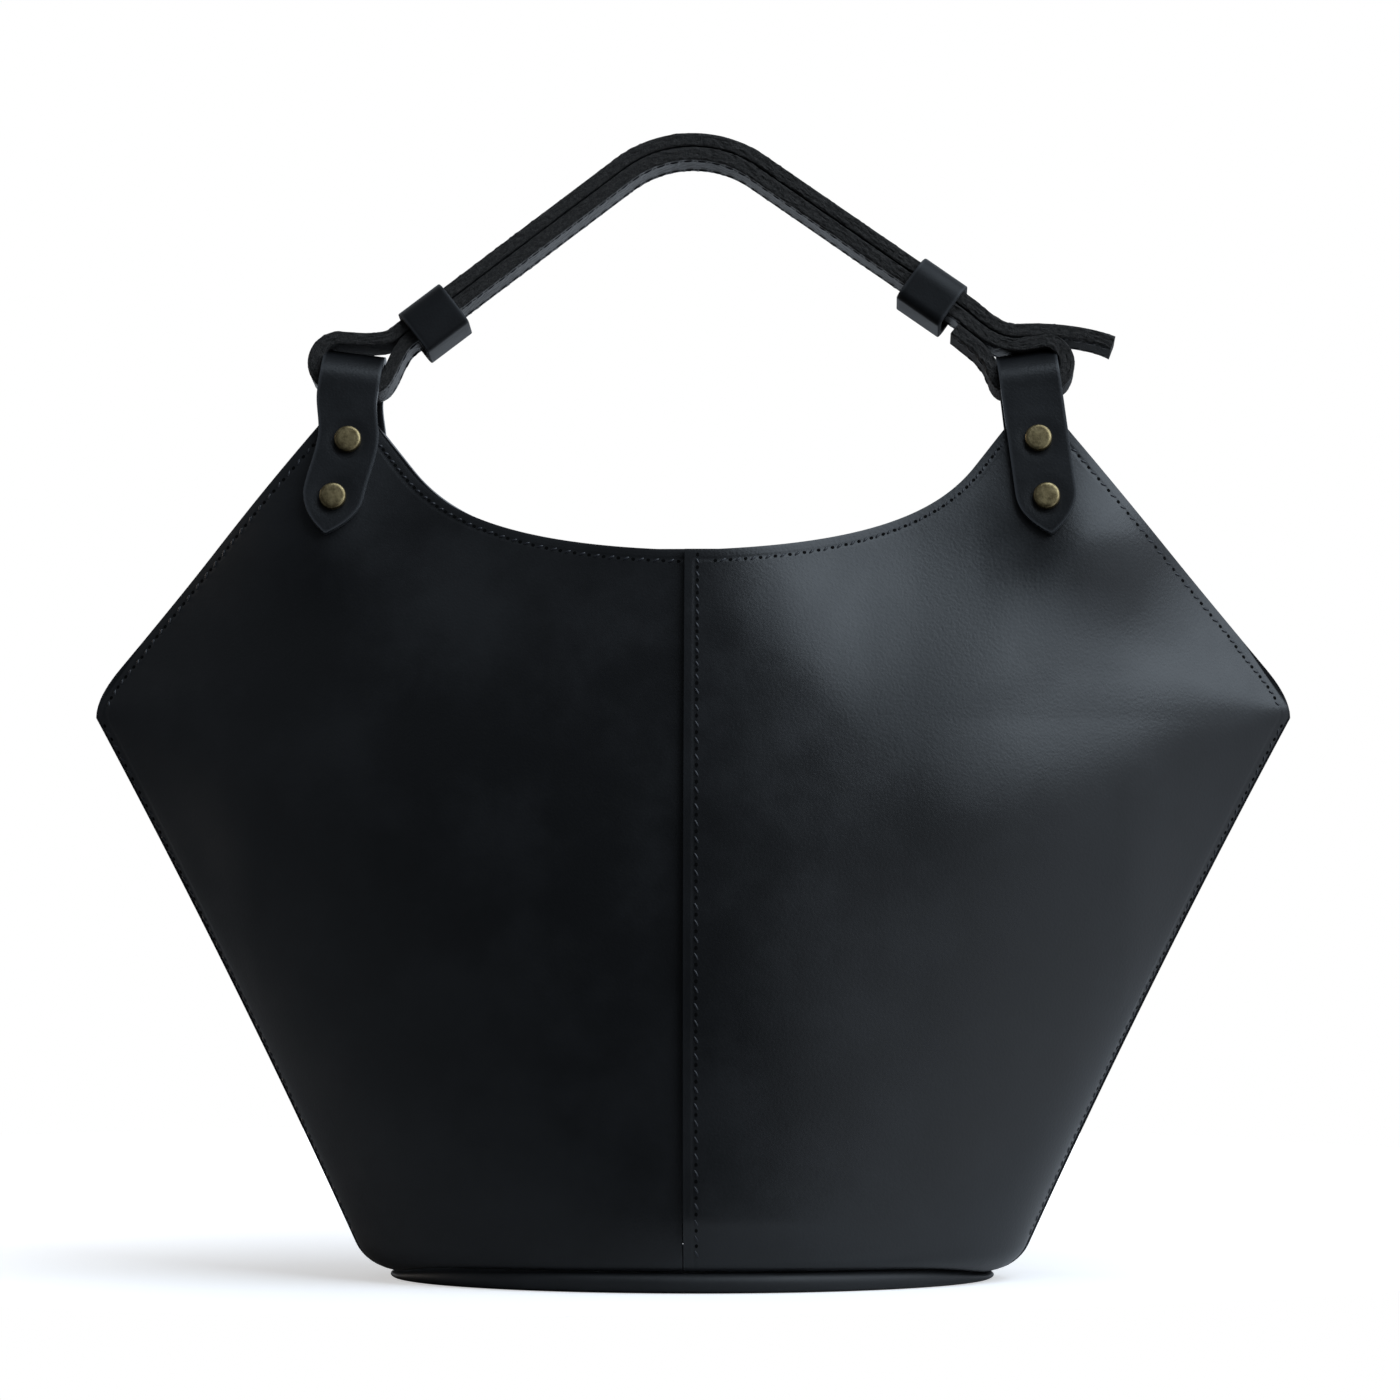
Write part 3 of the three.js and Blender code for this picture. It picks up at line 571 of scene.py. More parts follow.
def edit_all(piece):
    """Opens a piece in edit mode with all of it selected."""
    use_only(piece)
    bpy.ops.object.mode_set(mode="EDIT")
    bpy.ops.mesh.select_all(action="SELECT")


def turn_faces_over(piece):
    edit_all(piece)
    bpy.ops.mesh.flip_normals()
    bpy.ops.object.mode_set(mode="OBJECT")


def close_outwards():
    """Leaves edit mode with all faces turned outwards."""
    bpy.ops.mesh.select_all(action="SELECT")
    bpy.ops.mesh.normals_make_consistent(inside=False)
    bpy.ops.object.mode_set(mode="OBJECT")


def apply_modifier(piece, kind, **settings):
    use_only(piece)
    modifier = piece.modifiers.new(kind.title(), kind)
    for key, value in settings.items():
        setattr(modifier, key, value)
    bpy.ops.object.modifier_apply(modifier=modifier.name)


def smooth(piece, degrees=40):
    use_only(piece)
    bpy.ops.object.shade_smooth_by_angle(angle=math.radians(degrees))


def thicken(piece, edge_round, segments, sharp_degrees):
    """Gives a sheet of leather its thickness, its cut edge and its flesh side, and rounds its edges."""
    apply_modifier(
        piece,
        "SOLIDIFY",
        thickness=sizes("body").leather,
        offset=-1,
        use_even_offset=True,
        material_offset=2,
        material_offset_rim=1,
    )
    apply_modifier(
        piece,
        "BEVEL",
        width=edge_round,
        segments=segments,
        limit_method="ANGLE",
        angle_limit=math.radians(sharp_degrees),
    )
    smooth(piece)


def search_tree(points):
    tree = KDTree(len(points))
    for place, point in enumerate(points):
        tree.insert(point, place)
    tree.balance()
    return tree


def keep_edge_gap(piece, gaps):
    """Keeps on each point how far it lies from a cut edge, for the lighter band along it, which is
    painted highlight and, on the panels, partly wear.
    """
    piece.data.attributes.new("edge_gap", "FLOAT", "POINT").data.foreach_set("value", gaps)


def note_edge_gap(piece, edges):
    """The same, measured to the nearest of those edge points."""
    tree = search_tree(edges)
    keep_edge_gap(piece, [tree.find(v.co)[2] for v in piece.data.vertices])


def add_materials(piece, *materials):
    for material in materials:
        piece.data.materials.append(material)


def finish_piece(piece, body, slot, nodes, *materials):
    add_materials(piece, *materials)
    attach(piece, body)
    if nodes:
        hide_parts(*nodes)
    return piece


def swept_ring(name, sections, closed_along=False):
    """A closed skin through rings of points, with its ends filled unless it runs round into itself."""
    rows = list(sections) + ([sections[0]] if closed_along else [])
    piece = start_grid(name, len(sections[0]), len(rows) - 1)
    put_points(piece, np.concatenate([np.concatenate([ring, ring[:1]]) for ring in rows]))
    edit_all(piece)
    bpy.ops.mesh.remove_doubles(threshold=1e-7)
    if not closed_along:
        bpy.ops.mesh.select_all(action="DESELECT")
        bpy.ops.mesh.select_non_manifold()
        bpy.ops.mesh.fill_holes(sides=0)
    close_outwards()
    return piece


# Finishes: effects that several materials share are node groups


def new_group(name, inputs, outputs):
    group = bpy.data.node_groups.new(name, "ShaderNodeTree")
    for label, kind, default in inputs:
        socket = group.interface.new_socket(label, in_out="INPUT", socket_type=kind)
        if default is not None:
            socket.default_value = default
    for label, kind in outputs:
        group.interface.new_socket(label, in_out="OUTPUT", socket_type=kind)
    return group, group.nodes.new("NodeGroupInput"), group.nodes.new("NodeGroupOutput")


def add(tree, kind, links=None, **settings):
    """A node with its settings; links gives inputs, by name or number, a value or a node's output."""
    node = tree.nodes.new(kind)
    for key, value in settings.items():
        setattr(node, key, value)
    feed(tree, node, links or {})
    return node


def feed(tree, node, links):
    for key, value in links.items():
        if isinstance(value, bpy.types.NodeSocket):
            tree.links.new(value, node.inputs[key])
        else:
            node.inputs[key].default_value = value


def math_node(tree, operation, *values):
    return add(tree, "ShaderNodeMath", dict(enumerate(values)), operation=operation).outputs[0]


def vector_node(tree, operation, *values):
    return add(tree, "ShaderNodeVectorMath", dict(enumerate(values)), operation=operation)


def map_range(tree, value, low, high, to_low=0.0, to_high=1.0):
    links = {"Value": value, "From Min": low, "From Max": high, "To Min": to_low, "To Max": to_high}
    return add(tree, "ShaderNodeMapRange", links, interpolation_type="SMOOTHSTEP").outputs["Result"]


def mix_colour(tree, part, first, second):
    return add(tree, "ShaderNodeMix", {0: part, 6: first, 7: second}, data_type="RGBA").outputs[2]


def noise(tree, place, scale, detail=2.0, **others):
    links = {"Vector": place, "Scale": scale, "Detail": detail, **others}
    return add(tree, "ShaderNodeTexNoise", links).outputs


def relief_on(tree, shader, height, strength, distance):
    links = {"Height": height, "Strength": strength, "Distance": distance}
    normal = add(tree, "ShaderNodeBump", links).outputs["Normal"]
    tree.links.new(normal, shader.inputs["Normal"])


def scaled(tone, part):
    """A colour made lighter or darker."""
    return tuple(part * c for c in tone[:3]) + (1,)


def grain_group():
    """Fine leather grain: small rounded cells, pores and soft mottling."""
    inputs = [
        ("Vector", "NodeSocketVector", None),
        ("Cell size", "NodeSocketFloat", 0.0009),
        ("Pore depth", "NodeSocketFloat", 0.5),
    ]
    outputs = [(label, "NodeSocketFloat") for label in ("Height", "Mottle")]
    tree, given, made = new_group("Leather grain", inputs, outputs)
    place = given.outputs["Vector"]
    per_metre = math_node(tree, "DIVIDE", 1.0, given.outputs["Cell size"])
    wander = noise(tree, place, scale=260.0)
    shift = vector_node(tree, "MULTIPLY", wander["Color"], (0.0011, 0.0011, 0.0011))
    moved = vector_node(tree, "ADD", place, shift.outputs[0]).outputs[0]
    cells = add(
        tree, "ShaderNodeTexVoronoi", {"Vector": moved, "Scale": per_metre}, feature="SMOOTH_F1"
    )
    pores = noise(tree, moved, math_node(tree, "MULTIPLY", per_metre, 2.3), detail=3.0)
    dome = math_node(tree, "SUBTRACT", 1.0, cells.outputs["Distance"])
    pore = math_node(tree, "MULTIPLY", pores["Fac"], given.outputs["Pore depth"])
    broad = noise(tree, place, scale=28.0, detail=5.0, Roughness=0.62)
    results = {
        "Height": math_node(tree, "ADD", dome, pore),
        "Mottle": map_range(tree, broad["Fac"], 0.35, 0.68),
    }
    feed(tree, made, results)
    return tree


def fibre_group():
    """Cut leather: short fibres and crumbs."""
    inputs = [("Vector", "NodeSocketVector", None), ("Fibre size", "NodeSocketFloat", 0.0006)]
    outputs = [(label, "NodeSocketFloat") for label in ("Height", "Crumb")]
    tree, given, made = new_group("Cut fibres", inputs, outputs)
    place = given.outputs["Vector"]
    per_metre = math_node(tree, "DIVIDE", 1.0, given.outputs["Fibre size"])
    coarse = noise(tree, place, per_metre, detail=6.0, Roughness=0.7, Distortion=0.8)
    fine = noise(tree, place, math_node(tree, "MULTIPLY", per_metre, 3.1), detail=3.0)
    results = {
        "Height": math_node(tree, "ADD", coarse["Fac"], fine["Fac"]),
        "Crumb": map_range(tree, coarse["Fac"], 0.38, 0.66),
    }
    feed(tree, made, results)
    return tree


def sewn_edge_group():
    """The dent that a stitch row draws into leather, and the lighter band along a free edge, a painted
    highlight that on the panels is partly wear.
    """
    inputs = [
        ("Edge gap", "NodeSocketFloat", 0.02),
        ("Row inset", "NodeSocketFloat", 0.0031),
        ("Row width", "NodeSocketFloat", 0.0011),
        ("Rub width", "NodeSocketFloat", 0.0012),
    ]
    outputs = [(label, "NodeSocketFloat") for label in ("Dent", "Wear and highlight")]
    tree, given, made = new_group("Sewn edge", inputs, outputs)
    gap = given.outputs["Edge gap"]
    off = math_node(tree, "SUBTRACT", gap, given.outputs["Row inset"])
    away = math_node(tree, "DIVIDE", math_node(tree, "ABSOLUTE", off), given.outputs["Row width"])
    results = {
        "Dent": map_range(tree, away, 0.0, 1.0, 1.0, 0.0),
        "Wear and highlight": map_range(tree, gap, 0.0, given.outputs["Rub width"], 1.0, 0.0),
    }
    feed(tree, made, results)
    return tree


EFFECTS = {"Leather grain": grain_group, "Cut fibres": fibre_group, "Sewn edge": sewn_edge_group}


def use_effect(tree, name, links):
    """Places an effect that several materials share, with its own values here."""
    group = bpy.data.node_groups.get(name) or EFFECTS[name]()
    return add(tree, "ShaderNodeGroup", links, node_tree=group).outputs


def rgba(name):
    return (*getattr(sizes("colours"), name), 1)


def new_material(name, dress, values=None):
    """A material that gets its nodes from the dress function, on Object coordinates."""
    material = bpy.data.materials.new(name)
    material.use_nodes = True
    tree = material.node_tree
    shader = next(n for n in tree.nodes if n.type == "BSDF_PRINCIPLED")
    place = add(tree, "ShaderNodeTexCoord").outputs["Object"]
    dress(tree, shader, place, **(values or {}))
    return material


# Lighter band along a sewn edge, partly wear and partly painted highlight, and along a bare edge,
# painted highlight; depth of a stitch row beside the grain, and spread of the sheen
SEWN_WEAR_AND_HIGHLIGHT, BARE_EDGE_HIGHLIGHT = 0.2, 0.6
ROW_DENT = 3.0
ROUGHNESS_SPREAD = 0.1


def dress_leather(
    tree, shader, place, roughness, cell, edge=None, relief=0.00005, shine=0.5, tone="leather"
):
    """Black grain leather with a waxy sheen; its edge is sewn (a band of wear and painted highlight),
    rubbed (a painted highlight) or neither.
    """
    grain = use_effect(tree, "Leather grain", {"Vector": place, "Cell size": cell})
    skin = mix_colour(tree, grain["Mottle"], rgba(tone), rgba(f"{tone}_dry"))
    mottle = math_node(tree, "MULTIPLY", grain["Mottle"], ROUGHNESS_SPREAD)
    height = grain["Height"]
    if edge:
        gap = add(tree, "ShaderNodeAttribute", attribute_name="edge_gap").outputs["Fac"]
        marks = use_effect(tree, "Sewn edge", {"Edge gap": gap})
        # Painted highlight along the edge, partly wear on the sewn panel edges
        edge_wear_and_highlight = math_node(tree, "MULTIPLY", marks["Wear and highlight"], SEWN_WEAR_AND_HIGHLIGHT if edge == "sewn" else BARE_EDGE_HIGHLIGHT)
        skin = mix_colour(tree, edge_wear_and_highlight, skin, rgba("cut_edge" if edge == "sewn" else "painted_edge_highlight"))
    if edge == "sewn":
        dent = math_node(tree, "MULTIPLY", marks["Dent"], ROW_DENT)
        height = math_node(tree, "SUBTRACT", height, dent)
    rough = math_node(tree, "ADD", roughness - ROUGHNESS_SPREAD / 2, mottle)
    feed(tree, shader, {"Base Color": skin, "Roughness": rough, "Specular IOR Level": shine})
    relief_on(tree, shader, height, strength=0.55, distance=relief)


def dress_fibres(tree, shader, place, tone, fibre, relief, roughness=0.85):
    """Cut edges and the flesh side."""
    fibres = use_effect(tree, "Cut fibres", {"Vector": place, "Fibre size": fibre})
    pale = rgba(tone)
    fibre_tone = mix_colour(tree, fibres["Crumb"], scaled(pale, 0.35), pale)
    feed(tree, shader, {"Base Color": fibre_tone, "Roughness": roughness})
    relief_on(tree, shader, fibres["Height"], strength=0.8, distance=relief)


def dress_thread(tree, shader, place):
    """Waxed black thread with its twist."""
    ply = noise(tree, place, scale=2600.0)["Fac"]
    wax = mix_colour(tree, ply, rgba("thread"), scaled(rgba("thread"), 1.7))
    feed(tree, shader, {"Base Color": wax, "Roughness": 0.42})
    relief_on(tree, shader, ply, strength=0.5, distance=0.0001)


# Painted shade: a near-black disc stands for the shade inside a needle hole
def dress_painted_hole_shade(tree, shader, place):
    dust = noise(tree, place, scale=1500.0)["Fac"]
    dark = mix_colour(tree, dust, (0.001, 0.001, 0.001, 1), (0.004, 0.004, 0.004, 1))
    feed(tree, shader, {"Base Color": dark, "Roughness": 0.95, "Specular IOR Level": 0.1})


def dress_brass(tree, shader, place):
    """Antique brass: dark patina rubbed bright."""
    patina = noise(tree, place, scale=420.0, detail=6.0, Roughness=0.65)["Fac"]
    speck = noise(tree, place, scale=2400.0, detail=3.0)["Fac"]
    rubbed = map_range(tree, patina, 0.32, 0.66)
    metal = mix_colour(tree, rubbed, rgba("brass_dark"), rgba("brass"))
    rough = map_range(tree, speck, 0.3, 0.7, 0.3, 0.44)
    feed(tree, shader, {"Base Color": metal, "Roughness": rough, "Metallic": 1.0})
    relief_on(tree, shader, speck, strength=0.25, distance=0.00005)


FINISHES = {
    "Panel leather": (dress_leather, dict(roughness=0.33, cell=0.0008, edge="sewn", relief=0.000045)),
    "Base leather": (dress_leather, dict(roughness=0.55, cell=0.0008)),
    # On tabs and keepers the edge named rubbed is a painted highlight along the edge, not wear
    "Tab leather": (dress_leather, dict(roughness=0.33, cell=0.0007, edge="rubbed", shine=0.28)),
    "Keeper leather": (dress_leather, dict(roughness=0.5, cell=0.0007, edge="rubbed", shine=0.2)),
    "Strap leather": (dress_leather, dict(roughness=0.5, cell=0.0016, relief=0.0006, tone="strap")),
    "Cut edge": (dress_fibres, dict(tone="cut_edge", fibre=0.0007, relief=0.00025)),
    "Flesh side": (dress_fibres, dict(tone="flesh", fibre=0.0012, relief=0.0002, roughness=0.9)),
    "Strap edge": (dress_fibres, dict(tone="strap_edge", fibre=0.0008, relief=0.0007)),
    "Waxed thread": (dress_thread, {}),
    "Painted hole shade": (dress_painted_hole_shade, {}),
    "Antique brass": (dress_brass, {}),
}


def finishes(*names):
    """Finishes by name, each made the first time that a piece asks for it."""
    return [bpy.data.materials.get(name) or new_material(name, *FINISHES[name]) for name in names]


# Panels

PANELS = {
    "front_right_panel": {"upper": True, "mirror": False, "back": False},
    "front_left_panel": {"upper": False, "mirror": True, "back": False},
    "back_left_panel": {"upper": True, "mirror": False, "back": True},
    "back_right_panel": {"upper": False, "mirror": True, "back": True},
}


def to_panel(points, mirror, back):
    """Puts what is drawn as the front right panel on its own side of the bag."""
    flip = np.array([(-1 if mirror else 1) * (-1 if back else 1), -1 if back else 1, 1])
    return points * flip


def sew_panel(name, upper, mirror, back):
    layout = panel_layout(upper)
    rows, columns = layout.shape[:2]
    points, _ = face_points(layout[..., 0], layout[..., 1], upper)
    points = to_panel(points, mirror, back)
    panel = start_grid(name + "_leather", columns - 1, rows - 1)
    put_points(panel, points)
    free_edges = [points[:, -1], points[-1]]
    if upper:
        free_edges.insert(0, points[:, 0])
    note_edge_gap(panel, np.concatenate(free_edges))
    if mirror:
        turn_faces_over(panel)
    thicken(panel, sizes("body").panel_edge_round, segments=4, sharp_degrees=55)
    leather = finishes("Panel leather", "Cut edge", "Flesh side")
    return finish_piece(panel, "bag", "panel_leather", [name], *leather)


class BAG_OT_panels(bpy.types.Operator):
    """Cut and shape the four panels of the body"""

    bl_idname = "bag.panels"
    bl_label = "Panels"

    def execute(self, context):
        for name, place in PANELS.items():
            sew_panel(name, **place)
        return {"FINISHED"}


# Base

BASE_POINTS = 240
BASE_TURN_POINTS = 15
# How far inside the turned edge the floor of the bag begins
BASE_STEP = 0.0004


class BAG_OT_base(bpy.types.Operator):
    """Turn up the base and round its edge"""

    bl_idname = "bag.base"
    bl_label = "Base"

    def execute(self, context):
        body = sizes("body")
        around = np.linspace(0, 2 * math.pi, BASE_POINTS, endpoint=False)
        out = np.sin(around)
        depth = np.abs(out) ** (2 * body.base_roundness) * np.sign(out)
        top = foot_height(body.base_half_length * np.cos(around)) - body.seat_gap
        turn = np.linspace(-math.pi / 2, math.pi / 2, BASE_TURN_POINTS)
        rim = body.base_round + body.leather
        profile = [(body.base_round * (1 - math.cos(a)), (1 + math.sin(a)) / 2 * top) for a in turn]
        profile += [(rim, 1.0 * top), (rim + BASE_STEP, np.minimum(body.leather, top))]
        rings = []
        for inset, height in profile:
            x = (body.base_half_length - inset) * np.cos(around)
            y = (body.base_half_depth - inset) * depth
            rings.append(np.stack([x, y, height], axis=1))
        base = swept_ring("base_leather", rings)
        smooth(base, degrees=50)
        finish_piece(base, "bag", "base_leather", ["base_panel"], *finishes("Base leather"))
        return {"FINISHED"}


# Tabs

TAB_COLUMNS = 18
TAB_LEG_ROWS = 60
TAB_ARCH_ROWS = 28
TAB_POINT_POINTS = 80
# The last row stops this far from the tip, and rows are closer together near it
TIP_CUT, TIP_CLOSENESS = 0.0002, 0.8
# How the left tab comes back below each rivet, and where it starts, as shares of its bend
UPPER_SWAY, LOWER_SWAY, START_SWAY = 0.75, 0.25, 0.42
# A rivet's dent is full inside the first and ends at the second, in radii of its cap
DENT_FULL, DENT_END = 0.8, 1.9


def tab_frame(to_side):
    tabs = sizes("tabs")
    tilt = Matrix.Rotation(-to_side * tabs.tilt, 4, "Y")
    return Matrix.Translation((to_side * tabs.half_span, 0, loop_height())) @ tilt


def tab_half_width(drop):
    """Half width of a leg, down to its pointed end."""
    tabs = sizes("tabs")
    half = tabs.width / 2
    start = tabs.tip - tabs.shoulder
    full = start + tabs.shoulder * tabs.shoulder_pull
    point = bezier([(half, start), (half, full), (0, tabs.tip)], TAB_POINT_POINTS)
    return np.interp(drop, point[:, 1], point[:, 0], left=half)


def tab_bend(drop, to_side):
    """How far sideways the left tab wanders on its way down."""
    tabs = sizes("tabs")
    upper, lower = tabs.upper_rivet_drop, tabs.lower_rivet_drop
    sway = ease(drop, 0, upper) - UPPER_SWAY * ease(drop, upper, lower)
    sway = sway - LOWER_SWAY * ease(drop, lower, tabs.tip) - START_SWAY
    return tabs.bend * sway if to_side < 0 else 0 * sway


def tab_layout():
    """Outer face of a folded tab about its loop axis: front leg, arch, back leg."""
    tabs = sizes("tabs")
    outer = loop_radius() + sizes("body").leather
    low = outer / math.cos(tabs.splay)
    top_drop = -outer * math.sin(tabs.splay)
    part = np.linspace(0, 1, TAB_LEG_ROWS + 1) ** TIP_CLOSENESS
    drops = mix(tabs.tip - TIP_CUT, top_drop, part)
    front = np.stack([-(low + drops * math.tan(tabs.splay)), -drops], axis=1)
    turn = np.linspace(math.pi - tabs.splay, tabs.splay, TAB_ARCH_ROWS + 1)[1:-1]
    arch = np.stack([outer * np.cos(turn), outer * np.sin(turn)], axis=1)
    back = front[::-1] * np.array([-1, 1])
    line = np.concatenate([front, arch, back])
    across = np.linspace(-1, 1, TAB_COLUMNS + 1)
    x = across[None] * tab_half_width(-line[:, 1])[:, None]
    yz = np.repeat(line[:, None], TAB_COLUMNS + 1, axis=1)
    points = np.concatenate([x[..., None], yz], axis=-1)
    for drop in (tabs.upper_rivet_drop, tabs.lower_rivet_drop):
        away = np.hypot(points[..., 0], (points[..., 2] + drop) / math.cos(tabs.splay))
        dent = 1 - ease(away, tabs.rivet_radius * DENT_FULL, tabs.rivet_radius * DENT_END)
        points[..., 1] -= np.sign(points[..., 1]) * (tabs.dimple * dent)
    return points


class BAG_OT_tabs(bpy.types.Operator):
    """Fold the two handle tabs over the peaks"""

    bl_idname = "bag.tabs"
    bl_label = "Handle tabs"

    def execute(self, context):
        leather = finishes("Tab leather", "Cut edge", "Flesh side")
        for label, to_side in SIDES:
            points = tab_layout()
            points[..., 0] += tab_bend(-points[..., 2], to_side)
            rows, columns = points.shape[:2]
            tab = start_grid(f"{label}_tab_leather", columns - 1, rows - 1)
            put_points(tab, points)
            note_edge_gap(tab, np.concatenate([points[:, 0], points[:, -1], points[0], points[-1]]))
            tab.data.transform(tab_frame(to_side))
            thicken(tab, sizes("body").edge_round, segments=3, sharp_degrees=50)
            finish_piece(tab, "bag", "tab_leather", [f"{label}_handle_tab"], *leather)
        return {"FINISHED"}


# Rivets

CAP_SIDES = 40
# A cap's skirt, in its dimple, and the dome above it: radius and height as shares of the cap's
CAP_SKIRT = ((0.94, 0.0), (1.0, 0.12))
CAP_DOME = (
    (1.0, 0.4),
    (0.985, 0.62),
    (0.95, 0.79),
    (0.9, 0.9),
    (0.83, 0.955),
    (0.7, 0.975),
    (0.4, 0.992),
    (0.15, 0.999),
    (0.02, 1.0),
)
# The flatter cap inside the bag
INNER_CAP = (
    (0.98, 0.0),
    (1.0, 0.15),
    (1.0, 0.5),
    (0.96, 0.75),
    (0.88, 0.92),
    (0.75, 1.0),
    (0.3, 1.0),
    (0.02, 1.0),
)


def turned_cap(name, profile):
    """A round cap raised from a disc, ring by ring; the profile gives radius and height."""
    deselect()
    bpy.ops.mesh.primitive_circle_add(vertices=CAP_SIDES, radius=profile[0][0], fill_type="NGON")
    cap = bpy.context.object
    cap.name = cap.data.name = name
    bpy.ops.object.mode_set(mode="EDIT")
    bpy.ops.mesh.select_all(action="SELECT")
    for (radius, height), (next_radius, next_height) in zip(profile[:-1], profile[1:]):
        rise = (0, 0, next_height - height)
        bpy.ops.mesh.extrude_region_move(TRANSFORM_OT_translate={"value": rise})
        bpy.ops.transform.resize(value=(next_radius / radius, next_radius / radius, 1))
    close_outwards()
    return cap


def rivet_seats():
    """Name and frame of each rivet: Z points out of the leather, the origin is on its outer face."""
    tabs = sizes("tabs")
    outer = loop_radius() + sizes("body").leather
    for label, to_side in SIDES:
        for face, to_face in (("front", -1), ("back", 1)):
            for level, drop in (("upper", tabs.upper_rivet_drop), ("lower", tabs.lower_rivet_drop)):
                reach = outer / math.cos(tabs.splay) + drop * math.tan(tabs.splay)
                out = Vector((0, to_face * math.cos(tabs.splay), math.sin(tabs.splay)))
                turn = out.to_track_quat("Z", "Y").to_matrix().to_4x4()
                seat = Matrix.Translation((tab_bend(drop, to_side), to_face * reach, -drop)) @ turn
                yield f"{label}_{face}_{level}_rivet", tab_frame(to_side) @ seat


class BAG_OT_rivets(bpy.types.Operator):
    """Set the brass rivets through the tabs"""

    bl_idname = "bag.rivets"
    bl_label = "Rivets"

    def execute(self, context):
        body, tabs = sizes("body"), sizes("tabs")
        radius, height = tabs.rivet_radius, tabs.rivet_height
        dome = [(radius * r, -tabs.dimple + z * height) for r, z in CAP_SKIRT]
        dome += [(radius * r, z * height) for r, z in CAP_DOME]
        flat = [(radius * r, tabs.inner_cap_height * z) for r, z in INNER_CAP]
        outer_cap = turned_cap("rivet_cap_pattern", dome)
        inner_cap = turned_cap("rivet_inner_pattern", flat)
        stack = 2 * body.leather + tabs.leg_gap * math.cos(tabs.splay) + body.seat_gap
        turn = Matrix.Rotation(math.pi, 4, "X")
        inner_cap.data.transform(Matrix.Translation((0, 0, -stack)) @ turn)
        for name, frame in rivet_seats():
            for pattern, node in ((outer_cap, "post_cap"), (inner_cap, "inner_cap")):
                cap = bpy.data.objects.new(f"{name}_{node}_brass", pattern.data.copy())
                bpy.context.collection.objects.link(cap)
                cap.data.transform(frame)
                smooth(cap, degrees=35)
                finish_piece(cap, "bag", "antique_brass", [f"{name}_{node}"], *finishes("Antique brass"))
        for pattern in (outer_cap, inner_cap):
            bpy.data.objects.remove(pattern)
        return {"FINISHED"}


# Strap: its middle line is drawn across and up about the loop axis

STRAP_STEP = 0.0009
SEWN_END_POINTS = 40
# Points along the width, the thickness and a corner of its section
STRAP_POINTS = (12, 7, 3)
# The sewn end lies under this stretch of the strap that goes over the right tab, counted in its points
SEWN_STRETCH = slice(8, 27)
# Share of the right hug over the middle of the tab, and what it is divided by in the turn
HUG_OVER, HUG_TURN = 0.75, 6
# Share of the bend pull between the right tab and the stand of the sewn end
STAND_INSET = 0.7
# Unrest of the frayed edges across the strap and through it, each with its seed
FRAY, FRAY_SEED = 0.00028, 7
FUZZ, FUZZ_SEED = 0.00014, 11
# A face nearer than this to a side or an end of the strap, and this far inside its faces, is cut leather
CUT_SIDE, CUT_END = 0.00045, 0.0003
# Bunching starts at this share of the height of the strap over a tab
BUNCHING_TOP = 0.8


def handle_frame():
    return Matrix.Translation((0, 0, loop_height())) @ Matrix.Rotation(-sizes("strap").lean, 4, "X")


def over_tab():
    """Middle of the strap where it lies over a tab."""
    tabs, strap = sizes("tabs"), sizes("strap")
    lean = tabs.width / 2 * math.sin(tabs.tilt)
    return loop_radius() + sizes("body").leather + lean + strap.thickness / 2 + strap.over_tab_gap


def handle_arm(to_side):
    """Keeper place, way up the straight arm, way out of it and its slope."""
    tabs, strap = sizes("tabs"), sizes("strap")
    side = "left" if to_side < 0 else "right"
    inward, up = getattr(strap, f"{side}_keeper_in"), getattr(strap, f"{side}_keeper_up")
    keeper = np.array([to_side * (tabs.half_span - inward), over_tab() + up])
    to_centre = np.array([0, strap.handle_rise - strap.apex_radius]) - keeper
    rise = math.atan2(to_centre[1], -to_side * to_centre[0])
    slope = rise + math.asin(strap.apex_radius / np.linalg.norm(to_centre))
    along = np.array([-to_side * math.cos(slope), math.sin(slope)])
    outward = np.array([to_side * math.sin(slope), math.cos(slope)])
    return keeper, along, outward, slope


def arc(centre, radius, start, end):
    turn = np.linspace(start, end, BEND_POINTS)
    return np.stack([centre[0] + radius * np.cos(turn), centre[1] + radius * np.sin(turn)], axis=1)


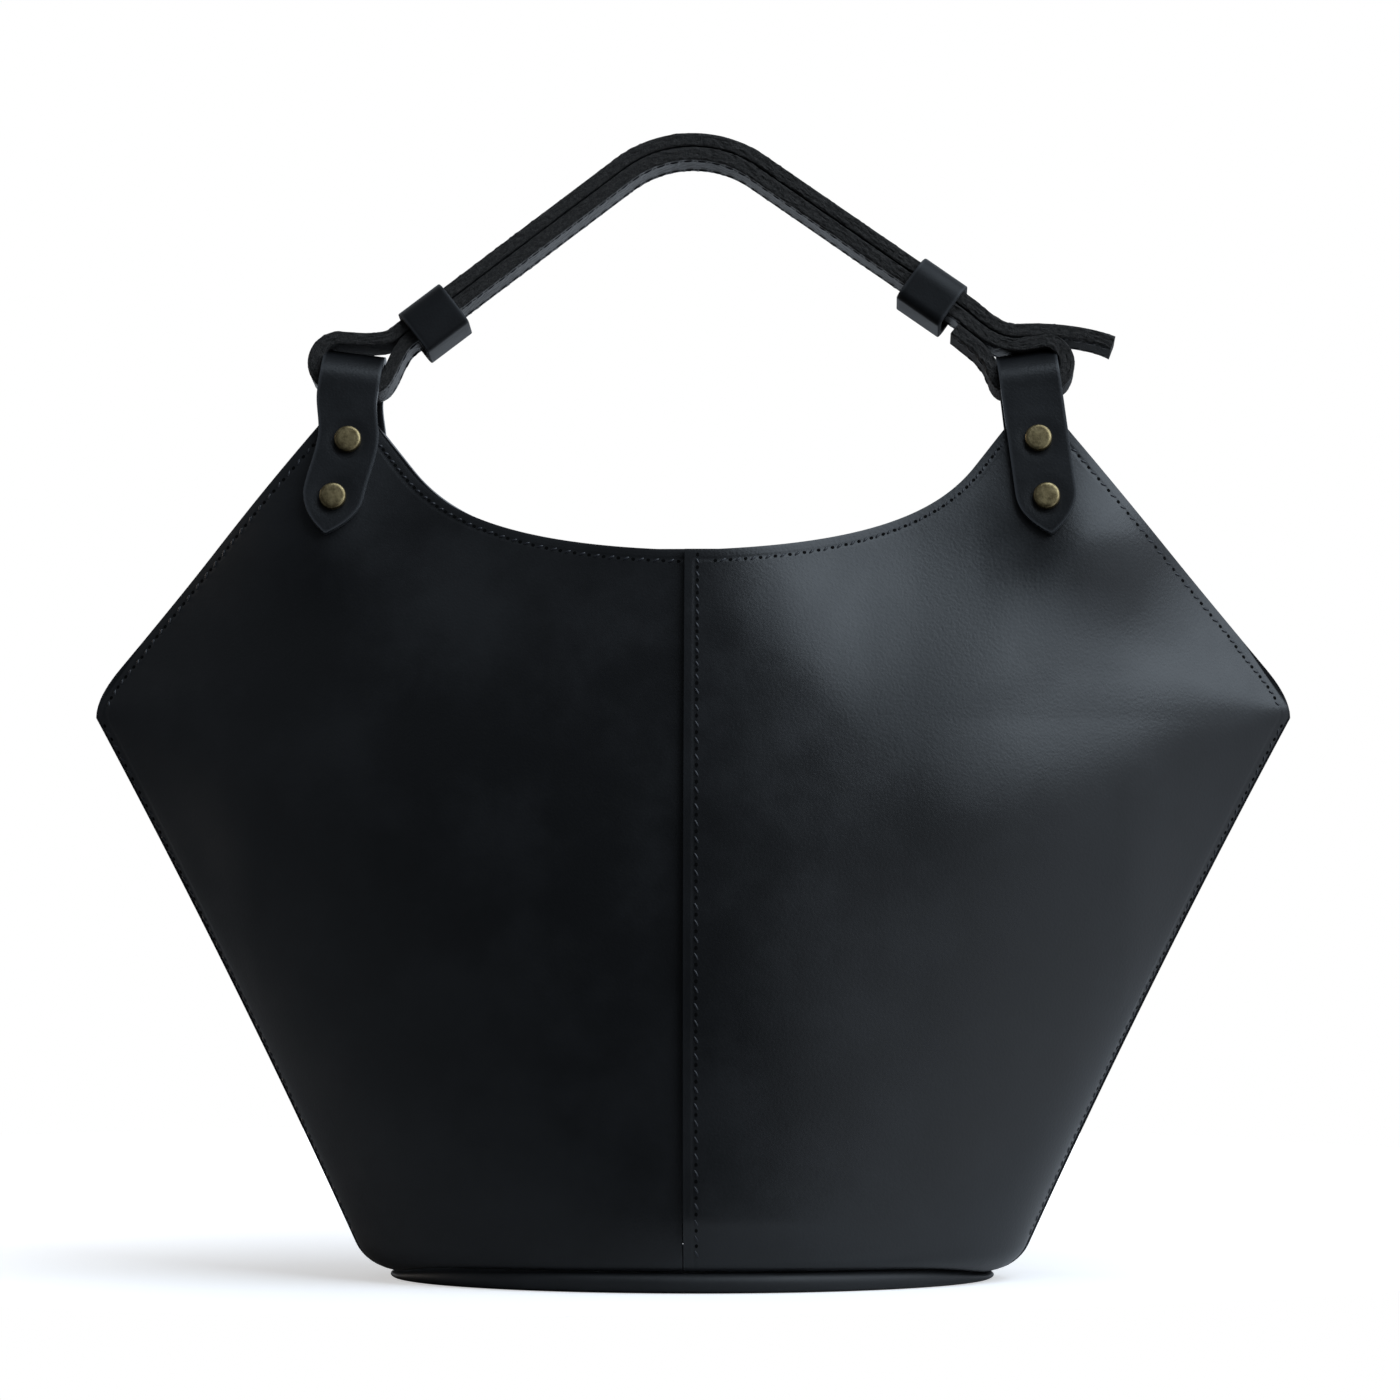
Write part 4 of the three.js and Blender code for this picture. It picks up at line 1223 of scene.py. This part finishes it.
def strap_line():
    """Middle line from the free end at the right, over the handle and back, to the sewn end."""
    tabs, strap = sizes("tabs"), sizes("strap")
    pitch = strap.thickness + strap.lay_gap
    over = over_tab()
    through = strap.through_rise
    span = tabs.half_span
    below = -(strap.keeper_band / 2 + strap.keeper_clear)
    turn_x = span + tabs.width / 2 - strap.turn_reach
    inner_edge = span - tabs.width / 2
    apex = (0, strap.handle_rise - strap.apex_radius)
    left_keeper, left_way, left_out, left_slope = handle_arm(-1)
    right_keeper, right_way, right_out, right_slope = handle_arm(1)
    left_angle, right_angle = math.pi / 2 + left_slope, math.pi / 2 - right_slope
    left_foot = left_keeper + left_way * below + left_out * pitch / 2
    left_rise = left_keeper + left_way * below - left_out * pitch / 2
    right_foot = right_keeper + right_way * below - right_out * pitch / 2
    half_turn = (over - through) / 2
    right_turn = half_turn - strap.right_hug / HUG_TURN
    near_tab = strap.over_bend_pull + strap.short_bend_pull
    right_over = bezier(
        [
            right_foot,
            right_foot - right_way * strap.long_bend_pull,
            (span - strap.over_bend_pull - strap.short_bend_pull, over - strap.right_hug),
            (span - strap.short_bend_pull, over - HUG_OVER * strap.right_hug),
        ]
    )
    up = unit(np.gradient(right_over, axis=0))[:, ::-1] * np.array([-1, 1])
    tail = right_over + up * pitch
    stand = np.array([inner_edge - STAND_INSET * strap.bend_pull, strap.strap_stand])
    stand_way = np.array([-math.cos(strap.strap_stand_slope), math.sin(strap.strap_stand_slope)])
    sewn = (right_over - up * pitch)[SEWN_STRETCH]
    free_end = bezier(
        [
            (span + strap.tail_reach, over - strap.tail_drop),
            (span + strap.tail_pull_reach + strap.short_bend_pull, over + pitch - strap.tail_drop),
            tail[-1] + unit(tail[-1] - tail[-2]) * strap.short_bend_pull,
            tail[-1],
        ]
    )
    left_over = bezier(
        [
            left_foot,
            left_foot - left_way * strap.short_bend_pull,
            (near_tab - span, over - strap.left_hug),
            (strap.short_bend_pull - span, over - strap.left_hug),
        ]
    )
    left_through = bezier(
        [
            (-inner_edge - strap.loop_inset, through),
            (strap.bend_pull - inner_edge - strap.loop_inset / 4, through),
            left_rise - left_way * strap.rise_pull,
            left_rise,
        ]
    )
    right_through = bezier(
        [
            (inner_edge + strap.loop_inset, through),
            (inner_edge - strap.loop_inset / 2, through),
            stand - stand_way * strap.bend_pull,
            stand,
        ],
        SEWN_END_POINTS,
    )
    sewn_rise = bezier(
        [
            stand,
            stand + stand_way * strap.bend_pull,
            sewn[-1] + unit(sewn[-1] - sewn[-2]) * strap.bend_pull,
            sewn[-1],
        ],
        SEWN_END_POINTS,
    )
    return np.concatenate(
        [
            free_end,
            tail[-2::-1],
            arc(apex, strap.apex_radius + pitch / 2, right_angle, left_angle),
            left_over,
            arc((-turn_x, over - half_turn), half_turn, math.pi / 2, 1.5 * math.pi),
            left_through,
            arc(apex, strap.apex_radius - pitch / 2, left_angle, right_angle),
            right_over,
            arc((turn_x, through + right_turn), right_turn, math.pi / 2, -math.pi / 2),
            right_through,
            sewn_rise[1:],
            sewn[-2::-1],
        ]
    )


def strap_run():
    """The strap's middle line at even steps, with its way along and its flesh side's way out."""
    rough = strap_line()
    count = int(np.linalg.norm(np.diff(rough, axis=0), axis=1).sum() / STRAP_STEP)
    line = spread(rough, count)
    way = unit(np.gradient(line, axis=0))
    out = np.stack([-way[:, 1], way[:, 0]], axis=1)
    return line, way, out


def lift_to_handle(flat, depth):
    """Points drawn across and up, at a depth, put on the leaning handle."""
    points = np.stack([flat[..., 0], depth, flat[..., 1]], axis=-1)
    turn = np.array(handle_frame())
    return points @ turn[:3, :3].T + turn[:3, 3]


def rounded_section(half_width, half_height, upper, lower, counts):
    """Points round a rectangle with rounded upper and lower corners, counter-clockwise from the right.

    The counts are those along its width, its height and a corner.
    """
    flat_count, edge_count, corner_count = counts
    corners = []
    for quarter, (sx, sy) in enumerate(((1, 1), (-1, 1), (-1, -1), (1, -1))):
        radius = upper if sy > 0 else lower
        turn = np.linspace(0, math.pi / 2, corner_count + 1) + quarter * math.pi / 2
        centre = np.array([sx * (half_width - radius), sy * (half_height - radius)])
        corners.append(centre + radius * np.stack([np.cos(turn), np.sin(turn)], axis=1))
    ring = []
    for place in range(4):
        ring.append(corners[place])
        count = flat_count if place % 2 == 0 else edge_count
        between = np.linspace(0, 1, count + 1)[1:-1, None]
        ring.append(mix(corners[place][-1], corners[(place + 1) % 4][0], between))
    return np.concatenate(ring)


def ragged(shape, amount, seed):
    """Small even unrest, the same each run."""
    return np.random.default_rng(seed).uniform(-amount, amount, shape)


def turn_bunching(line, way, section):
    """Extra thickness on the inner side of the turns round the tabs, as a share of the strap's own."""
    tabs, strap = sizes("tabs"), sizes("strap")
    heading = np.unwrap(np.arctan2(way[:, 1], way[:, 0]))
    bend = np.sign(np.gradient(heading))
    past = ease(np.abs(line[:, 0]), tabs.half_span, tabs.half_span + tabs.width / 2)
    low = 1 - ease(line[:, 1], BUNCHING_TOP * over_tab(), over_tab())
    inner = bend[:, None] * section[None, :, 1] > 0
    return inner * (past * low)[:, None] * strap.bunching / (strap.thickness / 2)


def strap_sides(piece, line, out):
    """For each face of the strap, the number of its material: grain side, cut edge or flesh side."""
    strap = sizes("strap")
    frame = np.array(handle_frame().inverted())
    centres = np.array([f.center for f in piece.data.polygons]) @ frame[:3, :3].T + frame[:3, 3]
    tree = search_tree([(x, z, 0) for x, z in line])
    for x, y, z in centres:
        _, place, _ = tree.find((x, z, 0))
        height = float(np.dot(np.array([x, z]) - line[place], out[place]))
        at_end = place in (0, len(line) - 1) and abs(height) < strap.thickness / 2 - CUT_END
        if at_end or abs(y) > strap.width / 2 - CUT_SIDE:
            yield 1
        else:
            yield 2 if height > 0 else 0


class BAG_OT_strap(bpy.types.Operator):
    """Double the long strap through the loops into a handle"""

    bl_idname = "bag.strap"
    bl_label = "Strap"

    def execute(self, context):
        strap = sizes("strap")
        line, way, out = strap_run()
        edge = strap.edge_round
        section = rounded_section(strap.width / 2, strap.thickness / 2, edge, edge, STRAP_POINTS)
        depth = np.repeat(section[None, :, 0], len(line), axis=0)
        lift = section[None, :, 1] * (1 + turn_bunching(line, way, section))
        on_edge = np.abs(section[None, :, 0]) > strap.width / 2 - edge
        depth = depth + np.where(on_edge, ragged(depth.shape, FRAY, FRAY_SEED), 0)
        lift = lift + np.where(on_edge, ragged(depth.shape, FUZZ, FUZZ_SEED), 0)
        flat = line[:, None] + out[:, None] * lift[..., None]
        piece = swept_ring("strap_leather", list(lift_to_handle(flat, depth)))
        add_materials(piece, *finishes("Strap leather", "Strap edge", "Flesh side"))
        piece.data.polygons.foreach_set("material_index", list(strap_sides(piece, line, out)))
        smooth(piece, degrees=60)
        finish_piece(piece, "handle", "strap_leather", ["handle_strap"])
        return {"FINISHED"}


# Keepers

# Points along a keeper's width, its height and a corner, and the same across its band
KEEPER_POINTS = (14, 12, 10)
BAND_POINTS = (10, 3, 3)
# A face nearer than this to an end of the band is cut leather
BAND_END = 0.0002


def keeper_frame(to_side):
    keeper, along, outward, _ = handle_arm(to_side)
    strap = sizes("strap")
    centre = keeper - outward * strap.keeper_slack / 2
    out = Vector((outward[0], 0, outward[1]))
    up = Vector((along[0], 0, along[1]))
    across = out.cross(up)
    turn = Matrix((across, out, up)).transposed().to_4x4()
    return handle_frame() @ Matrix.Translation((centre[0], 0, centre[1])) @ turn


class BAG_OT_keepers(bpy.types.Operator):
    """Close the two keeper bands round the strap"""

    bl_idname = "bag.keepers"
    bl_label = "Keepers"

    def execute(self, context):
        strap, edge = sizes("strap"), sizes("body").edge_round
        wall, band = strap.keeper_wall, strap.keeper_band
        inside = 2 * strap.thickness + strap.lay_gap + 2 * strap.running_gap + strap.keeper_slack
        half_width = strap.width / 2 + strap.keeper_side_room + wall / 2
        half_height = inside / 2 + wall / 2
        rounds = (strap.keeper_round, strap.keeper_low_round)
        outer = rounded_section(half_width + wall / 2, half_height + wall / 2, *rounds, KEEPER_POINTS)
        rounds = (strap.keeper_inner_round, strap.keeper_inner_round)
        inner = rounded_section(half_width - wall / 2, half_height - wall / 2, *rounds, KEEPER_POINTS)
        section = rounded_section(band / 2, wall / 2, edge, edge, BAND_POINTS)
        rings = []
        for low, high in zip(inner, outer):
            flat = mix(low[None], high[None], 0.5 + section[:, 1:2] / wall)
            rings.append(np.concatenate([flat, section[:, 0:1]], axis=1))
        for label, to_side in SIDES:
            keeper = swept_ring(f"{label}_keeper_leather", rings, closed_along=True)
            add_materials(keeper, *finishes("Keeper leather", "Cut edge", "Flesh side"))
            keep_edge_gap(keeper, [band / 2 - abs(v.co.z) for v in keeper.data.vertices])
            slots = []
            for face in keeper.data.polygons:
                faces_in = Vector((face.center.x, face.center.y, 0)).dot(face.normal) < 0
                is_end = abs(face.center.z) > band / 2 - BAND_END
                slots.append(1 if is_end else (2 if faces_in else 0))
            keeper.data.polygons.foreach_set("material_index", slots)
            keeper.data.transform(keeper_frame(to_side))
            smooth(keeper, degrees=50)
            finish_piece(keeper, f"{label}_keeper", "keeper_leather", [f"{label}_keeper"])
        return {"FINISHED"}


# Stitches

# A stitch: fullness of its ends, thinning there, and how far its middle and its ends are drawn in
STITCH_FULLNESS, STITCH_THINNING = 0.75, 0.25
STITCH_SINK, STITCH_END_SINK = 0.00005, 0.0004
# A needle hole, drawn as a dark disc of painted shade: sides, length and width in thread radii, and its
# height over the leather
HOLE_SIDES, HOLE_LENGTH, HOLE_WIDTH, HOLE_RISE = 6, 1.6, 1.3, 0.00005
ROW_POINTS = 200
LAP_ROW_POINTS = 300
# Along a row, how far the stitches beside a tab and the short ones after a corner go
PEAK_STRETCH = (0.025, 0.08)
CORNER_STRETCH = 0.03
# Across the bag, where a row goes over from the inset of the mouth to that of the peaks
INSET_STRETCH = (0.02, 0.085)
# Where the mouth's row starts on an upper and on a lower panel, and where the other rows start and end
UPPER_START, LOWER_START = 0.0045, -0.001
SIDE_ROW_START = 6
SEAM_ROW_FOOT = 0.012
LAP_ROW_FOOT, LAP_ROW_TOP = 0.0095, 0.0004
# The stitch over the rim at the top of a lap: how far it stands up, and its length in thicknesses
RIM_RISE, RIM_LENGTH = 0.0004, 1.4
# Room round a tab, and the space between it and the strap over it: half width in tab widths, heights
TAB_ROOM = 0.0008
RUB_HALF_WIDTH = 0.6
RUB_HEIGHTS = (-0.0038, 0.0008)


def stitch_pattern():
    """One stitch, lying along X with its ends drawn into the leather."""
    thread = sizes("stitches").thread_radius
    deselect()
    bpy.ops.mesh.primitive_uv_sphere_add(
        segments=6, ring_count=7, radius=1, rotation=(0, math.pi / 2, 0)
    )
    stitch = bpy.context.object
    bpy.ops.object.transform_apply(rotation=True)
    points = np.array([v.co for v in stitch.data.vertices])
    faces = [tuple(f.vertices) for f in stitch.data.polygons]
    bpy.data.objects.remove(stitch)
    run = np.clip(points[:, 0], -1, 1)
    points[:, 0] = np.sign(run) * np.abs(run) ** STITCH_FULLNESS
    points[:, 1] *= thread * (1 - STITCH_THINNING * run**2)
    points[:, 2] = points[:, 2] * thread - STITCH_SINK - STITCH_END_SINK * np.abs(run) ** 3
    return points, faces


def stitch_row(line, normals, pitch_at, skip):
    """Middle, way, normal and end of each stitch along a line on the leather, where none is skipped."""
    run = run_along(line)
    marks = [0.0]
    while marks[-1] < run[-1]:
        marks.append(marks[-1] + pitch_at(marks[-1], run[-1]))
    ends, outs = (
        np.stack([np.interp(marks[:-1], run, values[:, k]) for k in range(3)], axis=1)
        for values in (line, normals)
    )
    middles, ways, outs = (ends[1:] + ends[:-1]) / 2, ends[1:] - ends[:-1], (outs[1:] + outs[:-1]) / 2
    rows = zip(middles, ways, unit(outs), ends[1:])
    return [row for row in rows if not skip(row[0])]


def sew(name, rows, body, slot, reach, slant):
    """One mesh of all the stitches in those rows, with a dark disc of painted shade for each needle
    hole.
    """
    pattern, pattern_faces = stitch_pattern()
    thread = sizes("stitches").thread_radius
    turn = np.linspace(0, 2 * math.pi, HOLE_SIDES, endpoint=False)
    length_way, width_way = HOLE_LENGTH * thread * np.cos(turn), HOLE_WIDTH * thread * np.sin(turn)
    hole = np.stack([length_way, width_way, np.full(HOLE_SIDES, HOLE_RISE)], axis=1)
    points, faces, slots = [], [], []
    count = 0
    for centre, way, out, end in rows:
        span = np.linalg.norm(way)
        along = way / span
        side = np.cross(out, along)
        ahead = along * math.cos(slant) + side * math.sin(slant)
        beside = np.cross(out, ahead)
        shape = pattern * np.array([reach * span, 1, 1])
        points.append(centre + shape[:, :1] * ahead + shape[:, 1:2] * beside + shape[:, 2:] * out)
        faces += [tuple(v + count for v in face) for face in pattern_faces]
        slots += [0] * len(pattern_faces)
        count += len(pattern)
        # Needle hole: a dark disc of painted shade on the leather
        points.append(end + hole[:, :1] * along + hole[:, 1:2] * side + hole[:, 2:] * out)
        faces.append(tuple(range(count, count + HOLE_SIDES)))
        slots.append(1)
        count += HOLE_SIDES
    mesh = bpy.data.meshes.new(name)
    mesh.from_pydata(np.concatenate(points).tolist(), [], faces)
    piece = bpy.data.objects.new(name, mesh)
    bpy.context.collection.objects.link(piece)
    add_materials(piece, *finishes("Waxed thread", "Painted hole shade"))
    mesh.polygons.foreach_set("material_index", slots)
    smooth(piece, degrees=80)
    return finish_piece(piece, body, slot, [])


def inside_line(edge, inset, is_upper):
    """A line on a panel's face that runs inside an edge, drawn across and up."""
    points, normals = face_points(edge[:, 0], edge[:, 1], is_upper)
    way = unit(np.gradient(points, axis=0))
    moved = points + np.cross(normals, way) * np.reshape(inset, (-1, 1))
    return face_points(moved[:, 0], moved[:, 2], is_upper)


def under_tab(point):
    """True where a tab covers the panel."""
    tabs = sizes("tabs")
    drop = loop_height() - point[2]
    off = abs(abs(point[0]) - tabs.half_span - drop * math.tan(tabs.tilt))
    return drop < tabs.tip and off < tab_half_width(np.array(drop)) + TAB_ROOM


def mouth_pitch(place, whole):
    """Short stitches beside a tab, then longer ones."""
    stitches = sizes("stitches")
    return mix(stitches.peak_pitch, stitches.pitch, ease(place, *PEAK_STRETCH))


def side_pitch(place, whole):
    """Short stitches after a corner, then longer ones."""
    stitches = sizes("stitches")
    return stitches.fine_pitch if place < CORNER_STRETCH else stitches.pitch


def seam_pitch(place, whole):
    return sizes("stitches").pitch


def lap_pitch(place, whole):
    """Long stitches up a centre seam, with short ones at its top."""
    stitches = sizes("stitches")
    return stitches.fine_pitch if whole - place < stitches.fine_length else stitches.lap_pitch


def strap_pitch(place, whole):
    return sizes("stitches").strap_pitch


def panel_rows(upper, mirror, back):
    stitches, body = sizes("stitches"), sizes("body")
    mouth = mouth_edge()
    mouth = spread(mouth[mouth[:, 0] > (UPPER_START if upper else LOWER_START)], ROW_POINTS)[::-1]
    mouth_inset = mix(stitches.mouth_inset, stitches.peak_inset, ease(mouth[:, 0], *INSET_STRETCH))
    side = spread(upper_side_edge(), ROW_POINTS)[SIDE_ROW_START:]
    seam = spread(side_seam(SEAM_ROW_FOOT), ROW_POINTS)
    lines = [
        (inside_line(mouth, mouth_inset, upper), mouth_pitch),
        (inside_line(side, stitches.edge_inset, upper), side_pitch),
        (inside_line(seam, stitches.seam_inset, upper), seam_pitch),
    ]
    if upper:
        across = stitches.lap_inset - body.lap_reveal
        top = np.interp(across, *mouth_edge().T)
        z = np.linspace(LAP_ROW_FOOT, top - LAP_ROW_TOP, LAP_ROW_POINTS)
        lines.append((face_points(np.full_like(z, across), z, True), lap_pitch))
    rows = []
    for (line, normals), pitch_at in lines:
        line, normals = to_panel(line, mirror, back), to_panel(normals, mirror, back)
        rows += stitch_row(line, normals, pitch_at, under_tab)
    if upper:
        rim = line[-1] - normals[-1] * body.leather / 2 + np.array([0, 0, RIM_RISE])
        over_rim = to_panel(np.array([0, RIM_LENGTH * body.leather, 0]), mirror, back)
        rows.append((rim, over_rim, np.array([0, 0, 1.0]), rim + over_rim / 2))
    return rows


def against_tab(point):
    """True between a tab and the strap over it, where a stitch would rub when the handle swings."""
    tabs, strap = sizes("tabs"), sizes("strap")
    height = (handle_frame().inverted() @ Vector(point)).z - over_tab() + strap.thickness / 2
    beside = abs(abs(point[0]) - tabs.half_span) < RUB_HALF_WIDTH * tabs.width
    return beside and RUB_HEIGHTS[0] < height < RUB_HEIGHTS[1]


def strap_rows():
    strap, stitches = sizes("strap"), sizes("stitches")
    line, _, out = strap_run()
    rows = []
    for to_side in (-1, 1):
        depth = np.full(len(line), to_side * (strap.width / 2 - stitches.strap_inset))
        for to_face in (-1, 1):
            flat = line + out * to_face * strap.thickness / 2
            points = lift_to_handle(flat, depth)
            normals = lift_to_handle(line + out * to_face, depth) - lift_to_handle(line, depth)
            rows += stitch_row(points, normals, strap_pitch, against_tab)
    return rows


class BAG_OT_stitches(bpy.types.Operator):
    """Sew the panels, their edges and the strap"""

    bl_idname = "bag.stitches"
    bl_label = "Stitches"

    def execute(self, context):
        stitches = sizes("stitches")
        look = (stitches.reach, stitches.slant)
        for name, place in PANELS.items():
            sew(name.replace("panel", "stitches"), panel_rows(**place), "bag", "panel_leather", *look)
        look = (stitches.strap_reach, stitches.strap_slant)
        sew("strap_stitches", strap_rows(), "handle", "strap_leather", *look)
        return {"FINISHED"}


# Stage

FLOOR_RADIUS = 0.42
FLOOR_MIDDLE = (-0.05, 0.295, 0)
CAMERA_TARGET = (0.0024, 0, 0.1734)
CAMERA_DISTANCE = 2
CAMERA_TURN = math.radians(1.5)
SENSOR_WIDTH = 36
# Width of what the camera sees at its target
VIEW_WIDTH = 0.42
# The room by its ways out: where its light starts and stops changing, and its strength at both
ROOM_BEHIND = (0.3, 0.85, 0.0, 0.9)
ROOM_RIGHT = (0.1, 0.9, 0.04, 0.75)
ROOM_ABOVE = (0.2, 0.9, 0.0, 0.09)
ROOM_LEFT = (-0.95, -0.35, 0.12, 0.0)
ROOM_TINT = (0.8, 0.89, 1, 1)
WHITE = (1, 1, 1, 1)
# The floor in the same way: its painted shadow, which darkens its colour in reflections and fades going
# right, and its glow, going out
FLOOR_PAINTED_SHADOW = (-0.06, 0.09, 1.0, 0.0)
FLOOR_GLOW = (0.1, 0.5, 0.5, 1.0)
LAMPS = (
    {
        "name": "Key softbox",
        "place": (0.78, -0.567, 1.31),
        "target": (0, 0, 0.16),
        "size": (1.3, 1.9),
        "power": 22,
        "tint": (0.76, 0.88, 1.0),
    },
    {
        "name": "Left strip",
        "place": (-1.1, 0.5, 0.4),
        "target": (0, 0, 0.12),
        "size": (0.3, 0.9),
        "power": 2.6,
        "tint": (1.0, 0.86, 0.74),
    },
)


def aim(thing, place, target):
    thing.location = place
    thing.rotation_euler = (Vector(target) - Vector(place)).to_track_quat("-Z", "Y").to_euler()


def area_light(name, place, target, size, power, tint):
    lamp = bpy.data.lights.new(name, "AREA")
    lamp.shape = "RECTANGLE"
    lamp.size, lamp.size_y = size
    lamp.energy = power
    lamp.color = tint
    light = bpy.data.objects.new(name, lamp)
    bpy.context.collection.objects.link(light)
    aim(light, place, target)


def white_room():
    """White to the camera, a white wall behind the bag and a dim room in front of it."""
    world = bpy.data.worlds.new("Room")
    bpy.context.scene.world = world
    world.use_nodes = True
    tree = world.node_tree
    tree.nodes.clear()
    way = add(tree, "ShaderNodeTexCoord").outputs["Generated"]
    ways = add(tree, "ShaderNodeSeparateXYZ", {0: way}).outputs
    rays = add(tree, "ShaderNodeLightPath").outputs
    mirrored = math_node(tree, "MAXIMUM", rays["Is Glossy Ray"], rays["Is Transmission Ray"])
    behind = math_node(tree, "MULTIPLY", mirrored, map_range(tree, ways["Y"], *ROOM_BEHIND))
    right = map_range(tree, ways["X"], *ROOM_RIGHT)
    above = map_range(tree, ways["Z"], *ROOM_ABOVE)
    left = map_range(tree, ways["X"], *ROOM_LEFT)
    dim = math_node(tree, "ADD", right, math_node(tree, "ADD", above, left))
    around = math_node(tree, "MAXIMUM", behind, dim)
    level = math_node(tree, "MAXIMUM", rays["Is Camera Ray"], around)
    tint = mix_colour(tree, rays["Is Camera Ray"], ROOM_TINT, WHITE)
    sky = add(tree, "ShaderNodeBackground", {"Color": tint, "Strength": level})
    add(tree, "ShaderNodeOutputWorld", {"Surface": sky.outputs[0]})


def dress_floor(tree, shader, place):
    """Pale floor that goes over into the white background and keeps the shadow, with a painted shadow on
    its left in reflections.
    """
    pale = rgba("floor")
    rays = add(tree, "ShaderNodeLightPath").outputs
    speckle = noise(tree, place, scale=60.0, detail=3.0)["Fac"]
    tone = mix_colour(tree, speckle, scaled(pale, 0.985), pale)
    across = add(tree, "ShaderNodeSeparateXYZ", {0: place}).outputs["X"]
    # Painted shadow: the floor's colour is darker in reflections on the left, where the bag's shadow
    # lies
    painted_shadow_left = map_range(tree, across, *FLOOR_PAINTED_SHADOW)
    painted_shadow_in_reflections = math_node(tree, "MULTIPLY", rays["Is Glossy Ray"], painted_shadow_left)
    away = vector_node(tree, "LENGTH", place).outputs["Value"]
    glow = map_range(tree, away, *FLOOR_GLOW)
    links = {
        "Base Color": mix_colour(tree, painted_shadow_in_reflections, tone, scaled(pale, 0.3)),
        "Roughness": 0.9,
        "Specular IOR Level": 0.0,
        "Emission Color": WHITE,
        "Emission Strength": math_node(tree, "MULTIPLY", rays["Is Camera Ray"], glow),
    }
    feed(tree, shader, links)


class BAG_OT_stage(bpy.types.Operator):
    """Set the floor, the lights and the camera"""

    bl_idname = "bag.stage"
    bl_label = "Stage"

    def execute(self, context):
        scene = context.scene
        scene.view_settings.view_transform = "Standard"
        deselect()
        bpy.ops.mesh.primitive_circle_add(
            vertices=128, radius=FLOOR_RADIUS, location=FLOOR_MIDDLE, fill_type="NGON"
        )
        floor = bpy.context.object
        floor.name = "floor"
        bpy.ops.object.transform_apply(location=True)
        floor.data.materials.append(new_material("Pale floor", dress_floor))
        white_room()
        for lamp in LAMPS:
            area_light(**lamp)
        lens = bpy.data.cameras.new("Camera")
        camera = bpy.data.objects.new("Camera", lens)
        bpy.context.collection.objects.link(camera)
        way = Vector((math.sin(CAMERA_TURN), -math.cos(CAMERA_TURN), 0))
        aim(camera, Vector(CAMERA_TARGET) + CAMERA_DISTANCE * way, CAMERA_TARGET)
        lens.sensor_width = SENSOR_WIDTH
        lens.lens = SENSOR_WIDTH * CAMERA_DISTANCE / VIEW_WIDTH
        scene.camera = camera
        return {"FINISHED"}


class BAG_PT_sidebar(bpy.types.Panel):
    """The bag's pieces, in the order in which they are made"""

    bl_label = "Leather Bucket Bag"
    bl_idname = "BAG_PT_sidebar"
    bl_space_type = "VIEW_3D"
    bl_region_type = "UI"
    bl_category = "Bag"

    def draw(self, context):
        for step in STEPS:
            self.layout.operator(step.bl_idname)
        for label in GROUPS:
            box = self.layout.box()
            box.label(text=label.title())
            group = sizes(label)
            for key in group.__annotations__:
                box.prop(group, key)


GROUPS = {
    "body": BagBodySizes,
    "tabs": HandleTabSizes,
    "strap": StrapSizes,
    "stitches": StitchSizes,
    "colours": BagColours,
}
STEPS = (
    BAG_OT_stage,
    BAG_OT_panels,
    BAG_OT_base,
    BAG_OT_tabs,
    BAG_OT_rivets,
    BAG_OT_strap,
    BAG_OT_keepers,
    BAG_OT_stitches,
)


def register():
    for cls in (*GROUPS.values(), *STEPS, BAG_PT_sidebar):
        bpy.utils.register_class(cls)
    for label, cls in GROUPS.items():
        setattr(bpy.types.Scene, f"bag_{label}", PointerProperty(type=cls))


def unregister():
    for label in GROUPS:
        delattr(bpy.types.Scene, f"bag_{label}")
    for cls in reversed((*GROUPS.values(), *STEPS, BAG_PT_sidebar)):
        bpy.utils.unregister_class(cls)


def main():
    register()
    bpy.ops.bag.stage()
    bpy.ops.bag.panels()
    bpy.ops.bag.base()
    bpy.ops.bag.tabs()
    bpy.ops.bag.rivets()
    bpy.ops.bag.strap()
    bpy.ops.bag.keepers()
    bpy.ops.bag.stitches()


if __name__ == "__main__":
    main()
